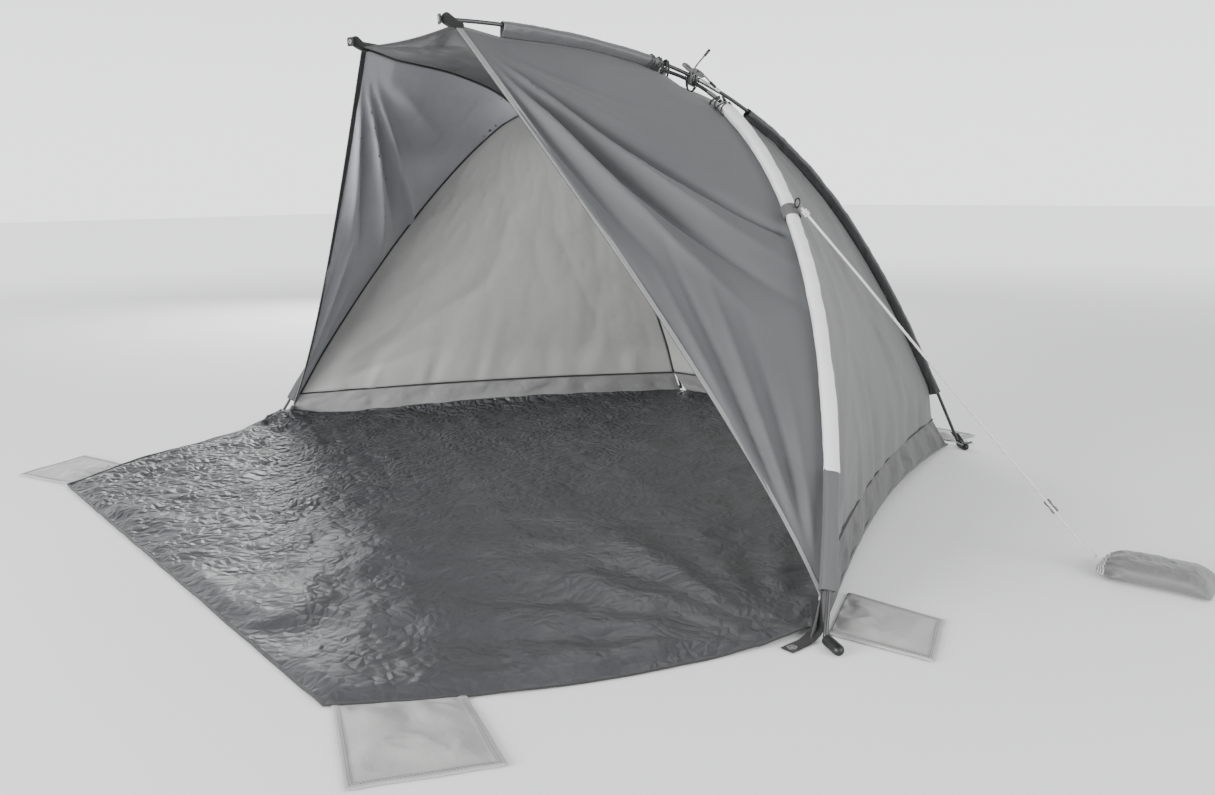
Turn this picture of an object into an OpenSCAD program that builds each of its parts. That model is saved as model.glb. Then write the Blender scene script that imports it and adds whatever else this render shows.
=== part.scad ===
// Beach shelter on three flexible poles, with an open front and a porch sheet.
// The origin is on the ground, midway between the front feet.
// X runs to the right, Y to the back and Z up; the open side faces -Y.

/* [Canopy] */
// Distance between the two front feet
front_w = 2200; // [1800:10:2700]
// Distance between the two rear feet
rear_w = 1118; // [800:2:1400]
// Distance from the front feet back to the rear feet
depth = 1297; // [1050:1:1600]
// Height of the arch pole at its crown
crown_h = 1029; // [850:1:1250]
// Distance of the crown behind the front feet
crown_y = 473; // [380:1:570]
// Distance between the two front tips
tip_gap = 404; // [300:2:600]
// Height of the front tips
tip_h = 1066; // [900:1:1300]
// Distance of the front tips ahead of the front feet
tip_fwd = 96; // [40:1:160]
// Height of the band sewn along the foot of the canopy
band_h = 92; // [60:1:130]
// Thickness of the canopy cloth as modelled
cloth_t = 3; // [2:0.5:4]

/* [Poles] */
// Outside diameter of a pole section
pole_d = 8.5; // [6:0.5:11]
// Wall of a pole section
pole_wall = 1.8; // [1:0.1:2.2]
// Sections in the arch pole
arch_sections = 6; // [6:1:6]
// Sections in each ridge pole
ridge_sections = 3; // [3:1:3]
// Length of the metal ferrule over each joint
ferrule_len = 60; // [40:5:90]
// Wall of the ferrule
ferrule_wall = 0.8; // [0.5:0.1:1.2]
// Diameter of the elastic cord in the poles
shock_d = 2.5; // [1.5:0.5:2.5]
// Diameter of the caps on the pole ends
cap_d = 19; // [16:0.5:24]
// Length of the caps on the feet
cap_len = 46; // [30:1:60]

/* [Sleeves] */
// Width of the flat pole sleeves
sleeve_w = 30; // [28:1:40]
// Thickness of a sleeve with its pole inside
sleeve_h = 17; // [17:0.5:20]
// Thickness of the sleeve cloth as modelled
sleeve_t = 1.2; // [0.8:0.1:1.5]

/* [Groundsheet] */
// Width of the porch sheet at its front edge
porch_w = 1498; // [1200:2:1800]
// Distance of the porch's front edge ahead of the front feet
porch_d = 705; // [500:1:850]
// Thickness of the groundsheet
sheet_t = 3; // [2:0.5:4]
// Distance of the porch's fold line ahead of the front feet
fold_y = 40; // [30:1:60]

/* [Sand pockets] */
// Length of a pocket along its seam
pocket_w = 204; // [150:1:260]
// Reach of a porch pocket from its seam
porch_pocket_l = 224; // [160:1:260]
// Reach of a side or rear pocket from its seam
side_pocket_l = 172; // [120:1:190]
// Thickness of an empty pocket
pocket_t = 4; // [3:0.5:6]

/* [Guy line] */
// Diameter of the guy cord
guy_d = 5; // [4:0.5:6]
// Length of the sand bag
bag_l = 196; // [140:1:240]
// Width of the sand bag
bag_w = 112; // [80:1:150]
// Thickness of the filled sand bag
bag_t = 42; // [30:1:52]
// Length of the line runner
runner_l = 30; // [20:1:40]

/* [Fittings] */
// Width of the webbing tabs
tab_w = 25; // [20:1:30]
// Thickness of the webbing tabs
tab_t = 2; // [1.5:0.5:2.5]
// Inside radius of an eyelet
eyelet_r = 4.5; // [3.5:0.5:5.5]
// Outside radius of an eyelet's flange
eyelet_flange_r = 9; // [8:0.5:11]

/* [Hidden] */

// clearances between pieces that don't touch
cloth_gap = 2.5;      // from a panel's edge to the seam line beside it
face_gap = 0.4;       // between faces that lie on each other
fit_gap = 0.15;       // between a pole and its ferrule
lift = 0.2;           // above the ground for pieces laid on it

// places that the driving sizes give
foot_z = cap_d / 2 + lift;
front_foot = [front_w / 2, 0, foot_z];
rear_foot = [rear_w / 2, depth, foot_z];
tip = [tip_gap / 2, -tip_fwd, tip_h];
crown = [0, crown_y, crown_h];
heart = [0, 0.4 * depth, 0.1 * crown_h];   // the poles bulge away from this point

// parameters along the poles: the arch runs 0 to 1 from right foot to left foot,
// a ridge 0 to 1 from its front tip to its rear foot
cross_arch = 0.368;
cross_ridge = 0.31;
pole_stack = pole_d + 2 * ferrule_wall + 1;   // the ridge pole rides over the arch pole

function unit(v) = v / norm(v);
function flip(p) = [-p[0], p[1], p[2]];
function lerp(a, b, t) = a + (b - a) * t;
function hump(x, mid, half) =
    let (d = abs(x - mid) / half) d >= 1 ? 0 : pow(cos(90 * d), 2);
function fade(x, start, end) = let (d = min(max((x - start) / (end - start), 0), 1)) d * d * (3 - 2 * d);
function steps(a, b, n) = [for (i = [0:n]) lerp(a, b, i / n)];

function bez2(p, t) = pow(1 - t, 2) * p[0] + 2 * t * (1 - t) * p[1] + t * t * p[2];
function bez3(p, t) =
    pow(1 - t, 3) * p[0] + 3 * t * pow(1 - t, 2) * p[1] + 3 * t * t * (1 - t) * p[2] + pow(t, 3) * p[3];
function bez4(p, t) =
    pow(1 - t, 4) * p[0] + 4 * t * pow(1 - t, 3) * p[1] + 6 * t * t * pow(1 - t, 2) * p[2]
    + 4 * pow(t, 3) * (1 - t) * p[3] + pow(t, 4) * p[4];

// arch pole: a half curve from the right foot to the crown, mirrored for the left half
arch_ctl = [
    front_foot,
    [0.848 * front_w / 2, 0.59 * crown_y, 0.52 * crown_h],
    [0.58 * front_w / 2, 0.93 * crown_y, 0.861 * crown_h],
    [0.29 * front_w / 2, crown_y, crown_h],
    crown
];
function arch_at(s) = s <= 0.5 ? bez4(arch_ctl, 2 * s) : flip(bez4(arch_ctl, 2 * (1 - s)));

// ridge pole: two curves that meet where it crosses over the arch pole
cross_low = arch_at(cross_arch);
cross_pt = cross_low + pole_stack * unit(cross_low - heart);
cross_dir = unit([0.19, 0.92, -0.35]);
front_ctl = [tip, tip + [60, 215, -2], cross_pt - 129 * cross_dir, cross_pt];
rear_ctl = [cross_pt, cross_pt + 0.56 * (depth - cross_pt[1]) * cross_dir,
    rear_foot + [-53, -0.227 * (depth - cross_pt[1]), 0.345 * crown_h], rear_foot];
function ridge_at(s) =
    s <= cross_ridge ? bez3(front_ctl, s / cross_ridge)
    : bez3(rear_ctl, (s - cross_ridge) / (1 - cross_ridge));

// a point on pole "arch", "right" or "left"
function on(pole, s) = pole == "arch" ? arch_at(s) : pole == "right" ? ridge_at(s) : flip(ridge_at(s));
// unit vectors of a pole at s: along it, sideways, and outwards
function along(pole, s) = unit(on(pole, min(s + 0.002, 1)) - on(pole, max(s - 0.002, 0)));
function aside(pole, s) = unit(cross(along(pole, s), on(pole, s) - heart));
function outward(pole, s) = cross(aside(pole, s), along(pole, s));

// solid skinned through rings of equal size, closed with two flat caps
module skin(rings) {
    n = len(rings[0]);
    m = len(rings);
    polyhedron(
        points = [for (r = rings) each r],
        faces = concat(
            [[for (k = [0:n - 1]) k]],
            [for (i = [0:m - 2], k = [0:n - 1])
                [i * n + k, (i + 1) * n + k, (i + 1) * n + (k + 1) % n, i * n + (k + 1) % n]],
            [[for (k = [n - 1:-1:0]) (m - 1) * n + k]]
        ),
        convexity = 6
    );
}
// hollow tube between outer and inner rings
module pipe(outer, inner) {
    n = len(outer[0]);
    m = len(outer);
    b = n * m;
    polyhedron(
        points = concat([for (r = outer) each r], [for (r = inner) each r]),
        faces = concat(
            [for (i = [0:m - 2], k = [0:n - 1])
                [i * n + k, (i + 1) * n + k, (i + 1) * n + (k + 1) % n, i * n + (k + 1) % n]],
            [for (i = [0:m - 2], k = [0:n - 1])
                [b + i * n + k, b + i * n + (k + 1) % n, b + (i + 1) * n + (k + 1) % n, b + (i + 1) * n + k]],
            [for (k = [0:n - 1]) [k, (k + 1) % n, b + (k + 1) % n, b + k]],
            [for (k = [0:n - 1])
                [(m - 1) * n + k, b + (m - 1) * n + k, b + (m - 1) * n + (k + 1) % n, (m - 1) * n + (k + 1) % n]]
        ),
        convexity = 6
    );
}
// ring of n points round a pole at s, rw wide and rh high (half sizes)
function ring(pole, s, rw, rh, n, drop = 0) =
    let (c = on(pole, s) - drop * outward(pole, s), a = aside(pole, s), o = outward(pole, s))
    [for (k = [0:n - 1]) c + rw * cos(360 * k / n) * a - rh * sin(360 * k / n) * o];

// cloth sheet: a grid of points given a thickness along its normals
function grid_normal(g, i, j) =
    let (m = len(g) - 1, n = len(g[0]) - 1)
    unit(cross(g[min(i + 1, m)][j] - g[max(i - 1, 0)][j], g[i][min(j + 1, n)] - g[i][max(j - 1, 0)]));
module sheet(g, t) {
    m = len(g);
    n = len(g[0]);
    b = m * n;
    polyhedron(
        points = concat(
            [for (i = [0:m - 1], j = [0:n - 1]) g[i][j] + t / 2 * grid_normal(g, i, j)],
            [for (i = [0:m - 1], j = [0:n - 1]) g[i][j] - t / 2 * grid_normal(g, i, j)]),
        faces = concat(
            [for (i = [0:m - 2], j = [0:n - 2]) each
                [[i * n + j, i * n + j + 1, (i + 1) * n + j + 1], [i * n + j, (i + 1) * n + j + 1, (i + 1) * n + j]]],
            [for (i = [0:m - 2], j = [0:n - 2]) each
                [[b + i * n + j, b + (i + 1) * n + j + 1, b + i * n + j + 1],
                 [b + i * n + j, b + (i + 1) * n + j, b + (i + 1) * n + j + 1]]],
            [for (i = [0:m - 2]) each
                [[i * n, (i + 1) * n, b + (i + 1) * n, b + i * n],
                 [i * n + n - 1, b + i * n + n - 1, b + (i + 1) * n + n - 1, (i + 1) * n + n - 1]]],
            [for (j = [0:n - 2]) each
                [[j, b + j, b + j + 1, j + 1],
                 [(m - 1) * n + j, (m - 1) * n + j + 1, b + (m - 1) * n + j + 1, b + (m - 1) * n + j]]]
        ),
        convexity = 6
    );
}

// ---- poles ----
function pole_len(pole) = let (n = 60)
    [for (i = [0:n - 1]) norm(on(pole, (i + 1) / n) - on(pole, i / n))] * [for (i = [0:n - 1]) 1];
arch_len = pole_len("arch");
ridge_len = pole_len("right");
pole_r = pole_d / 2;
bore_r = pole_r - pole_wall;
pole_sides = 8;

// parameters of one section's rings: its ends, the ferrules' ends and even steps between
function section_steps(a, b, half) = concat([a], steps(a + half, b - half, 8), [b]);
module section(pole, index, count, length) {
    half = ferrule_len / 2 / length;
    ss = section_steps(index / count, (index + 1) / count, half);
    pipe([for (s = ss) ring(pole, s, pole_r, pole_r, pole_sides)],
        [for (s = ss) ring(pole, s, bore_r, bore_r, pole_sides)]);
}
module ferrules(pole, count, length) {
    half = ferrule_len / 2 / length;
    r_in = pole_r + fit_gap;
    r_out = r_in + ferrule_wall;
    for (i = [1:count - 1]) {
        ss = [i / count - half, i / count, i / count + half];
        pipe([for (s = ss) ring(pole, s, r_out, r_out, pole_sides)],
            [for (s = ss) ring(pole, s, r_in, r_in, pole_sides)]);
    }
}
module shock_cord(pole, rings) {
    ss = steps(0.002, 0.998, rings);
    skin([for (s = ss) ring(pole, s, shock_d / 2, shock_d / 2, 6)]);
}
module arch_section(index) color([0.2, 0.2, 0.21]) section("arch", index, arch_sections, arch_len);
module ridge_section(pole, index) color([0.2, 0.2, 0.21]) section(pole, index, ridge_sections, ridge_len);
module arch_ferrules() color([0.6, 0.6, 0.62]) ferrules("arch", arch_sections, arch_len);
module ridge_ferrules(pole) color([0.6, 0.6, 0.62]) ferrules(pole, ridge_sections, ridge_len);
module pole_shock_cord(pole, rings) color([0.85, 0.85, 0.85]) shock_cord(pole, rings);

// ---- pole ends ----
module mirrored() {
    children();
    mirror([1, 0, 0]) children();
}
// a cap that lies on the ground and points away from the shelter at turn degrees from +X
module foot_cap(foot, turn) {
    translate([foot[0], foot[1], foot_z]) rotate([0, 0, turn]) {
        translate([cap_start, 0, 0]) rotate([0, 90, 0]) cylinder(d = cap_d, h = cap_len - cap_d / 2, $fn = 32);
        translate([cap_start + cap_len - cap_d / 2, 0, 0]) sphere(d = cap_d, $fn = 24);
    }
}
cap_start = pole_r + 2;
front_cap_turn = -24;
rear_cap_turn = -33;
module front_foot_caps() color([0.08, 0.08, 0.08]) mirrored() foot_cap(front_foot, front_cap_turn);
module rear_foot_caps() color([0.08, 0.08, 0.08]) mirrored() foot_cap(rear_foot, rear_cap_turn);
// the tip caps close the front ends of the ridge poles
tip_cap_l = 22;
module tip_cap() {
    d = -along("right", 0);
    p = tip + face_gap * d;
    yaw = atan2(d[1], d[0]);
    pitch = acos(d[2]);
    translate(p) rotate([0, pitch, yaw]) {
        cylinder(d = cap_d - 5, h = tip_cap_l - (cap_d - 5) / 2, $fn = 32);
        translate([0, 0, tip_cap_l - (cap_d - 5) / 2]) sphere(d = cap_d - 5, $fn = 24);
    }
}
module tip_caps() color([0.08, 0.08, 0.08]) mirrored() tip_cap();

// ---- sleeves ----
// stretches of the poles that run in a sleeve
arch_sleeve_span = [0.06, 0.318];
crown_sleeve_span = [0.41, 0.59];
front_sleeve_span = [0.05, 0.247];
rear_sleeve_span = [0.395, 0.9];
module sleeve(pole, span, rings) {
    ss = steps(span[0], span[1], rings);
    pipe([for (s = ss) ring(pole, s, sleeve_w / 2, sleeve_h / 2, 10)],
        [for (s = ss) ring(pole, s, sleeve_w / 2 - sleeve_t, sleeve_h / 2 - sleeve_t, 10)]);
}
module arch_sleeve() color([0.82, 0.82, 0.81]) sleeve("arch", arch_sleeve_span, 13);
module crown_sleeve() color([0.82, 0.82, 0.81]) sleeve("arch", crown_sleeve_span, 8);
module front_sleeve() color([0.36, 0.37, 0.38]) sleeve("right", front_sleeve_span, 6);
module rear_sleeve() color([0.3, 0.31, 0.32]) sleeve("right", rear_sleeve_span, 14);

// ---- canopy ----
// distance of the cloth inside each pole, which is least under the sleeves
seat_slack = 7;        // room for the cloth to turn under a sleeve's edges
seat = sleeve_h / 2 + cloth_t / 2 + face_gap + seat_slack;
cross_gap = 29;       // more at the crossings, where the poles stand free
leg_gap_front = 6;    // more beside the bare front legs
leg_gap_rear = 26;    // more beside the bare rear legs
tip_drop = 20;        // more at the tips
function arch_drop(s) = let (t = min(s, 1 - s))
    seat + cross_gap * hump(t, cross_arch, 0.05) + leg_gap_front * (1 - fade(t, 0.02, 0.06));
function ridge_drop(s) =
    seat + pole_stack * hump(s, cross_ridge, 0.1) + cross_gap * hump(s, cross_ridge, 0.085)
    + leg_gap_rear * fade(s, 0.88, 0.95) + tip_drop * (1 - fade(s, 0, 0.055));
// cloth under a pole: w is the sideways shift towards the panel
function under_arch(s, w) = arch_at(s) - arch_drop(s) * outward("arch", s) + w * aside("arch", s);
function under_ridge(s, w) = ridge_at(s) - ridge_drop(s) * outward("right", s) + w * aside("right", s);

// parameter at which a half pole comes down to height z, found by halving
function arch_down(z, a = 0, b = 0.3, n = 14) =
    let (m = (a + b) / 2) n == 0 ? m : arch_at(m)[2] > z ? arch_down(z, a, m, n - 1) : arch_down(z, m, b, n - 1);
function ridge_down(z, a = 0.6, b = 1, n = 14) =
    let (m = (a + b) / 2) n == 0 ? m : ridge_at(m)[2] > z ? ridge_down(z, m, b, n - 1) : ridge_down(z, a, m, n - 1);
band_top = band_h + 10;
arch_leg = arch_down(band_top);
ridge_leg = ridge_down(band_top);

// front corner of the canopy over a front foot, and the front edge between it and the tip
corner_h = 70;
corner_s = arch_down(corner_h);
foot_corner = under_arch(corner_s, -cloth_gap);
tip_s = 0.004;
tip_corner = under_ridge(tip_s, cloth_gap);
edge_ctl = [tip_corner, [0.796 * front_w / 2, 65, 0.3 * crown_h], foot_corner];

// a panel of three sides: two pole curves from the crossing and a free edge.
// P(u,v) = lerp(c1(u), c2(u), v) + u^2 (edge(v) - lerp(c1(1), c2(1), v)) - billow sin sin
panel_start = 0.035;
function front_panel_pt(u, v) =
    let (c1 = under_ridge(lerp(cross_ridge, tip_s, u), cloth_gap),
        c2 = under_arch(lerp(cross_arch, corner_s, u), -cloth_gap), w = pow(u, 2.2))
    lerp(c1, c2, v) + w * (bez2(edge_ctl, v) - lerp(tip_corner, foot_corner, v));
function side_seam(v) =
    let (a = under_arch(arch_leg, cloth_gap), b = under_ridge(ridge_leg, cloth_gap))
    lerp(a, b, v) + [-26, -12, 14] * sin(180 * v);
function side_panel_pt(u, v) =
    let (c1 = under_arch(lerp(cross_arch, arch_leg, u), cloth_gap),
        c2 = under_ridge(lerp(cross_ridge, ridge_leg, u), cloth_gap),
        a = under_arch(arch_leg, cloth_gap), b = under_ridge(ridge_leg, cloth_gap), w = pow(u, 3))
    lerp(c1, c2, v) + w * (side_seam(v) - lerp(a, b, v)) + [-20, -8, 0] * sin(180 * v) * sin(180 * u);
// a panel of four sides between the two ridges; v runs from right to left
function crown_pt(v, w) = under_arch(lerp(cross_arch, 1 - cross_arch, v), w);
function roof_pt(u, v) =
    let (r = under_ridge(lerp(tip_s, cross_ridge, u), -cloth_gap), l = flip(r),
        k = crown_pt(v, -cloth_gap), k0 = crown_pt(0, -cloth_gap), k1 = crown_pt(1, -cloth_gap))
    lerp(r, l, v) + pow(u, 1.6) * (k - lerp(k0, k1, v)) + [0, 30, -14] * sin(180 * v) * pow(1 - u, 2);
rear_bow = 60;
function rear_seam(v) =
    let (r = under_ridge(ridge_leg, -cloth_gap)) lerp(r, flip(r), v) + [0, rear_bow * 0.3, 10] * sin(180 * v);
function rear_panel_pt(u, v) =
    let (r = under_ridge(lerp(cross_ridge, ridge_leg, u), -cloth_gap), l = flip(r),
        k = crown_pt(v, cloth_gap), k0 = crown_pt(0, cloth_gap), k1 = crown_pt(1, cloth_gap),
        b = rear_seam(v), b0 = rear_seam(0), b1 = rear_seam(1))
    lerp(r, l, v) + pow(1 - u, 1.6) * (k - lerp(k0, k1, v)) + pow(u, 3) * (b - lerp(b0, b1, v));
function grid(us, vs, kind) = [for (u = us) [for (v = vs)
    kind == "front" ? front_panel_pt(u, v) : kind == "side" ? side_panel_pt(u, v)
    : kind == "roof" ? roof_pt(u, v) : rear_panel_pt(u, v)]];

module front_panel() color([0.47, 0.49, 0.5])
    sheet(grid(steps(panel_start, 1, 12), steps(0, 1, 8), "front"), cloth_t);
module side_panel() color([0.58, 0.58, 0.58])
    sheet(grid(steps(panel_start, 1, 12), steps(0, 1, 8), "side"), cloth_t);
module roof_panel() color([0.37, 0.39, 0.4])
    sheet(grid(steps(0, 0.985, 7), steps(0.01, 0.99, 10), "roof"), cloth_t);
module rear_panel() color([0.45, 0.46, 0.46])
    sheet(grid(steps(0.015, 1, 12), steps(0.01, 0.99, 10), "rear"), cloth_t);

// band along the foot: a ruled strip from the panel's seam down to the hem
band_foot = cloth_t / 2 + sheet_t + face_gap;   // the hem stands on the groundsheet
side_hem_front = [front_w / 2 - 26, 26, band_foot];
side_hem_rear = [rear_w / 2 - 22, depth - 26, band_foot];
side_hem_rise = 26;
function side_hem(v) = lerp(side_hem_front, side_hem_rear, v) + [-36, -10, side_hem_rise] * sin(180 * v);
function side_band_pt(u, v) = lerp(side_seam(v) + [0, 0, -cloth_gap], side_hem(v), u);
rear_hem_end = [rear_w / 2 - 40, depth - 12, band_foot];
function rear_hem(v) = lerp(rear_hem_end, flip(rear_hem_end), v) + [0, rear_bow * 0.5, 0] * sin(180 * v);
function rear_band_pt(u, v) = lerp(rear_seam(v) + [0, 0, -cloth_gap], rear_hem(v), u);
module hem_band_side() color([0.54, 0.54, 0.53])
    sheet([for (u = steps(0, 1, 2)) [for (v = steps(0.015, 0.985, 10)) side_band_pt(u, v)]], cloth_t);
module hem_band_rear() color([0.54, 0.54, 0.53])
    sheet([for (u = steps(0, 1, 2)) [for (v = steps(0.02, 0.98, 10)) rear_band_pt(u, v)]], cloth_t);

// ---- groundsheet ----
porch_side_bow = 42;   // the porch's sides curve outwards
sheet_front_x = front_w / 2 - 45;
floor_rear = depth - 6;
function porch_side(v) =
    lerp([sheet_front_x, -fold_y], [porch_w / 2, -porch_d], v)
    + porch_side_bow * sin(180 * v) * unit([porch_d - fold_y, -(sheet_front_x - porch_w / 2)]);
function floor_side(v) = lerp([sheet_front_x + 4, 0], [rear_w / 2 - 16, floor_rear], v) - [18 * sin(180 * v), 0];
module floor_sheet() color([0.35, 0.37, 0.38])
    linear_extrude(sheet_t) polygon(concat(
        [[-sheet_front_x, -fold_y], [sheet_front_x, -fold_y]],
        [for (v = steps(0, 1, 8)) floor_side(v)],
        [for (v = steps(1, 0, 8)) [-floor_side(v)[0], floor_side(v)[1]]]));
module porch_sheet() color([0.38, 0.4, 0.41])
    linear_extrude(sheet_t) polygon(concat(
        [for (v = steps(0, 1, 8)) porch_side(v) - [0, v == 0 ? face_gap : 0]],
        [for (v = steps(1, 0, 8)) [-porch_side(v)[0], porch_side(v)[1] - (v == 0 ? face_gap : 0)]]));

// ---- sand pockets ----
// a flat pocket whose seam starts at p, runs at angle turn, and which reaches to its right;
// lean pushes the far edge back along the seam
module pocket(p, turn, width, reach, flare, lean = 0) {
    inset = 0.8;   // clear of the sheet it is sewn to
    translate([p[0], p[1], 0]) rotate([0, 0, turn]) linear_extrude(pocket_t)
        polygon([[0, -inset], [width, -inset], [width + flare - lean, -reach], [flare * 0.4 - lean, -reach]]);
}
// seam of a porch pocket: from the porch's front corner back along its side
porch_pocket_a = porch_side(0.985) + [1.2, 0];
porch_pocket_b = porch_side(0.985 - pocket_w / 770) + [1.2, 0];
porch_pocket_turn = atan2(porch_pocket_b[1] - porch_pocket_a[1], porch_pocket_b[0] - porch_pocket_a[0]);
module porch_pocket() color([0.68, 0.69, 0.66])
    pocket(porch_pocket_a, porch_pocket_turn, pocket_w, porch_pocket_l, 4);
// seam of a side pocket: just outside the canopy's hem, behind the front foot's cap
side_pocket_a = [front_w / 2 - 17, 32];
side_pocket_turn = 117;
module side_pocket() color([0.68, 0.69, 0.66])
    pocket(side_pocket_a, side_pocket_turn, pocket_w - 20, side_pocket_l, 0, 60);
// seam of a rear pocket: along the rear hem, inside the rear foot
rear_pocket_a = [rear_w / 2 - 34, depth + 34];
module rear_pocket() color([0.62, 0.63, 0.61])
    pocket(rear_pocket_a, 180, pocket_w - 20, side_pocket_l - 60, 0);

// ---- guy line ----
guy_s = 0.201;                       // where its loop goes round the arch sleeve
guy_at = arch_at(guy_s);
bag_turn = 12;                       // the bag's own direction on the ground, from +X
loop_gap = 1;                        // the loop stands this far off the sleeve
loop_t = 2;
ring_r = 9;                          // centre line of the ring
ring_wire = 1.5;
// the ring hangs at the outside of the loop
ring_at = guy_at + (sleeve_h / 2 + loop_gap + loop_t + ring_r + ring_wire + 3) * outward("arch", guy_s);
neck_z = 24;
function turned(dir) = [0, acos(dir[2]), atan2(dir[1], dir[0])];
// band of cloth round the sleeve, with an ear that holds the ring
module guy_loop() {
    ss = [guy_s - 0.0036, guy_s, guy_s + 0.0036];
    rw = sleeve_w / 2 + loop_gap;
    rh = sleeve_h / 2 + loop_gap;
    pipe([for (s = ss) ring("arch", s, rw + loop_t, rh + loop_t, 10)],
        [for (s = ss) ring("arch", s, rw, rh, 10)]);
}
module guy_loops() color([0.5, 0.5, 0.5]) mirrored() guy_loop();
module guy_ring() translate(ring_at) rotate(turned(aside("arch", guy_s)))
    rotate_extrude($fn = 36) translate([ring_r, 0]) circle(r = ring_wire, $fn = 16);
module guy_rings() color([0.15, 0.15, 0.15]) mirrored() guy_ring();

// route of the guy cord from its ring to the neck of the bag, in millimetres
guy_route = [
    [757, 335, 687], [806, 366, 620], [855, 397, 553], [903, 427, 486], [951, 458, 418], [1000, 489, 351],
    [1048.25, 520, 285], [1096.5, 551, 219], [1144.75, 582, 153], [1193, 613, 87], [1221, 631, 49], [1242, 643, 28]
];
// ring of 8 points round a free route
function route_dir(p, i) = unit(p[min(i + 1, len(p) - 1)] - p[max(i - 1, 0)]);
function route_ring(p, i, r) =
    let (t = route_dir(p, i), a = unit(cross(t, [0, 0, 1])), o = cross(a, t))
    [for (k = [0:7]) p[i] + r * cos(45 * k) * a - r * sin(45 * k) * o];
module guy_cord() color([0.9, 0.9, 0.88])
    skin([for (i = [0:len(guy_route) - 1]) route_ring(guy_route, i, guy_d / 2)]);
// runner: a short block with a hole that the cord runs through
runner_dir = unit(guy_route[9] - guy_route[8]);
runner_at = (guy_route[8] + guy_route[9]) / 2;
runner_gap = 0.5;
runner_d = 13;
module guy_runner() color([0.85, 0.85, 0.83])
    translate(runner_at) rotate(turned(runner_dir)) difference() {
        translate([0, 0, -runner_l / 2]) cylinder(d = runner_d, h = runner_l, $fn = 32);
        translate([0, 0, -runner_l / 2 - 1]) cylinder(r = guy_d / 2 + runner_gap, h = runner_l + 2, $fn = 32);
    }
// bag filled with sand: superellipse sections, wide in the middle and tied at the neck
bag_neck = guy_route[len(guy_route) - 1] + (guy_d / 2 + 1) * [cos(bag_turn), sin(bag_turn), 0];
function bag_section(t) =
    let (open = 0.16 + 0.84 * pow(sin(90 * min(t * 4.2, 1)), 0.8), flat = t > 0.86 ? 1 - 0.35 * pow((t - 0.86) / 0.14, 2) : 1,
        w = bag_w / 2 * open, h = bag_t / 2 * open * flat, zc = h + lift + (neck_z - bag_t / 2) * pow(1 - t, 6))
    [for (k = [0:15]) let (a = 22.5 * k, c = cos(a), s = sin(a))
        [t * bag_l, w * sign(c) * pow(abs(c), 0.75), max(zc + h * sign(s) * pow(abs(s), 0.85), lift)]];
module sand_bag() color([0.6, 0.6, 0.59])
    translate([bag_neck[0], bag_neck[1], 0]) rotate([0, 0, bag_turn])
        skin([for (t = [0, 0.04, 0.09, 0.15, 0.24, 0.4, 0.6, 0.8, 0.92, 1]) bag_section(t)]);

// ---- tabs and eyelets ----
// webbing strip along points, w wide along the sideways vector a
module strip(path, a, w, t) {
    skin([for (i = [0:len(path) - 1])
        let (d = route_dir(path, i), n = unit(cross(a, d)))
        [path[i] - a * w / 2 + n * t / 2, path[i] + a * w / 2 + n * t / 2,
         path[i] + a * w / 2 - n * t / 2, path[i] - a * w / 2 - n * t / 2]]);
}
// a foot tab comes down from the canopy's corner and lies on the ground beside the foot,
// where an eyelet takes a peg
flange_t = 1;
tab_mid = lift + flange_t + tab_t / 2;        // the tab lies on the eyelet's lower flange
peg_front = [front_w / 2 - 24, -54];
peg_rear = [rear_w / 2 - 6, depth + 54];
module foot_tab(top, peg, side) {
    difference() {
        strip([[top[0], top[1], top[2]], [lerp(top[0], peg[0], 0.6), top[1] + side * 14, 0.52 * top[2]],
            [peg[0], top[1] + side * 24, 0.17 * top[2]], [peg[0], top[1] + side * 36, tab_mid],
            [peg[0], peg[1] + side * 16, tab_mid]], [1, 0, 0], tab_w, tab_t);
        translate([peg[0], peg[1], -1]) cylinder(r = eyelet_r + 1 + fit_gap, h = 12, $fn = 32);
    }
}
front_tab_top = foot_corner + [-6, -5, -6];
rear_tab_top = [rear_w / 2 - 18, depth + 8, band_h - 14];
module front_foot_tabs() color([0.1, 0.1, 0.1]) mirrored() foot_tab(front_tab_top, peg_front, -1);
module rear_foot_tabs() color([0.1, 0.1, 0.1]) mirrored() foot_tab(rear_tab_top, peg_rear, 1);

// eyelet: a short tube with a flange at each end, t between the flanges
module eyelet(t) {
    rotate_extrude($fn = 48) {
        translate([eyelet_r, 0]) square([1, t + 2 * flange_t]);
        translate([eyelet_r, 0]) square([eyelet_flange_r - eyelet_r, flange_t - 0.1]);
        translate([eyelet_r, t + flange_t + 0.1]) square([eyelet_flange_r - eyelet_r, flange_t - 0.1]);
    }
}
module foot_eyelets() color([0.75, 0.75, 0.76]) mirrored() {
    translate([peg_front[0], peg_front[1], lift]) eyelet(tab_t);
    translate([peg_rear[0], peg_rear[1], lift]) eyelet(tab_t);
}

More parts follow.
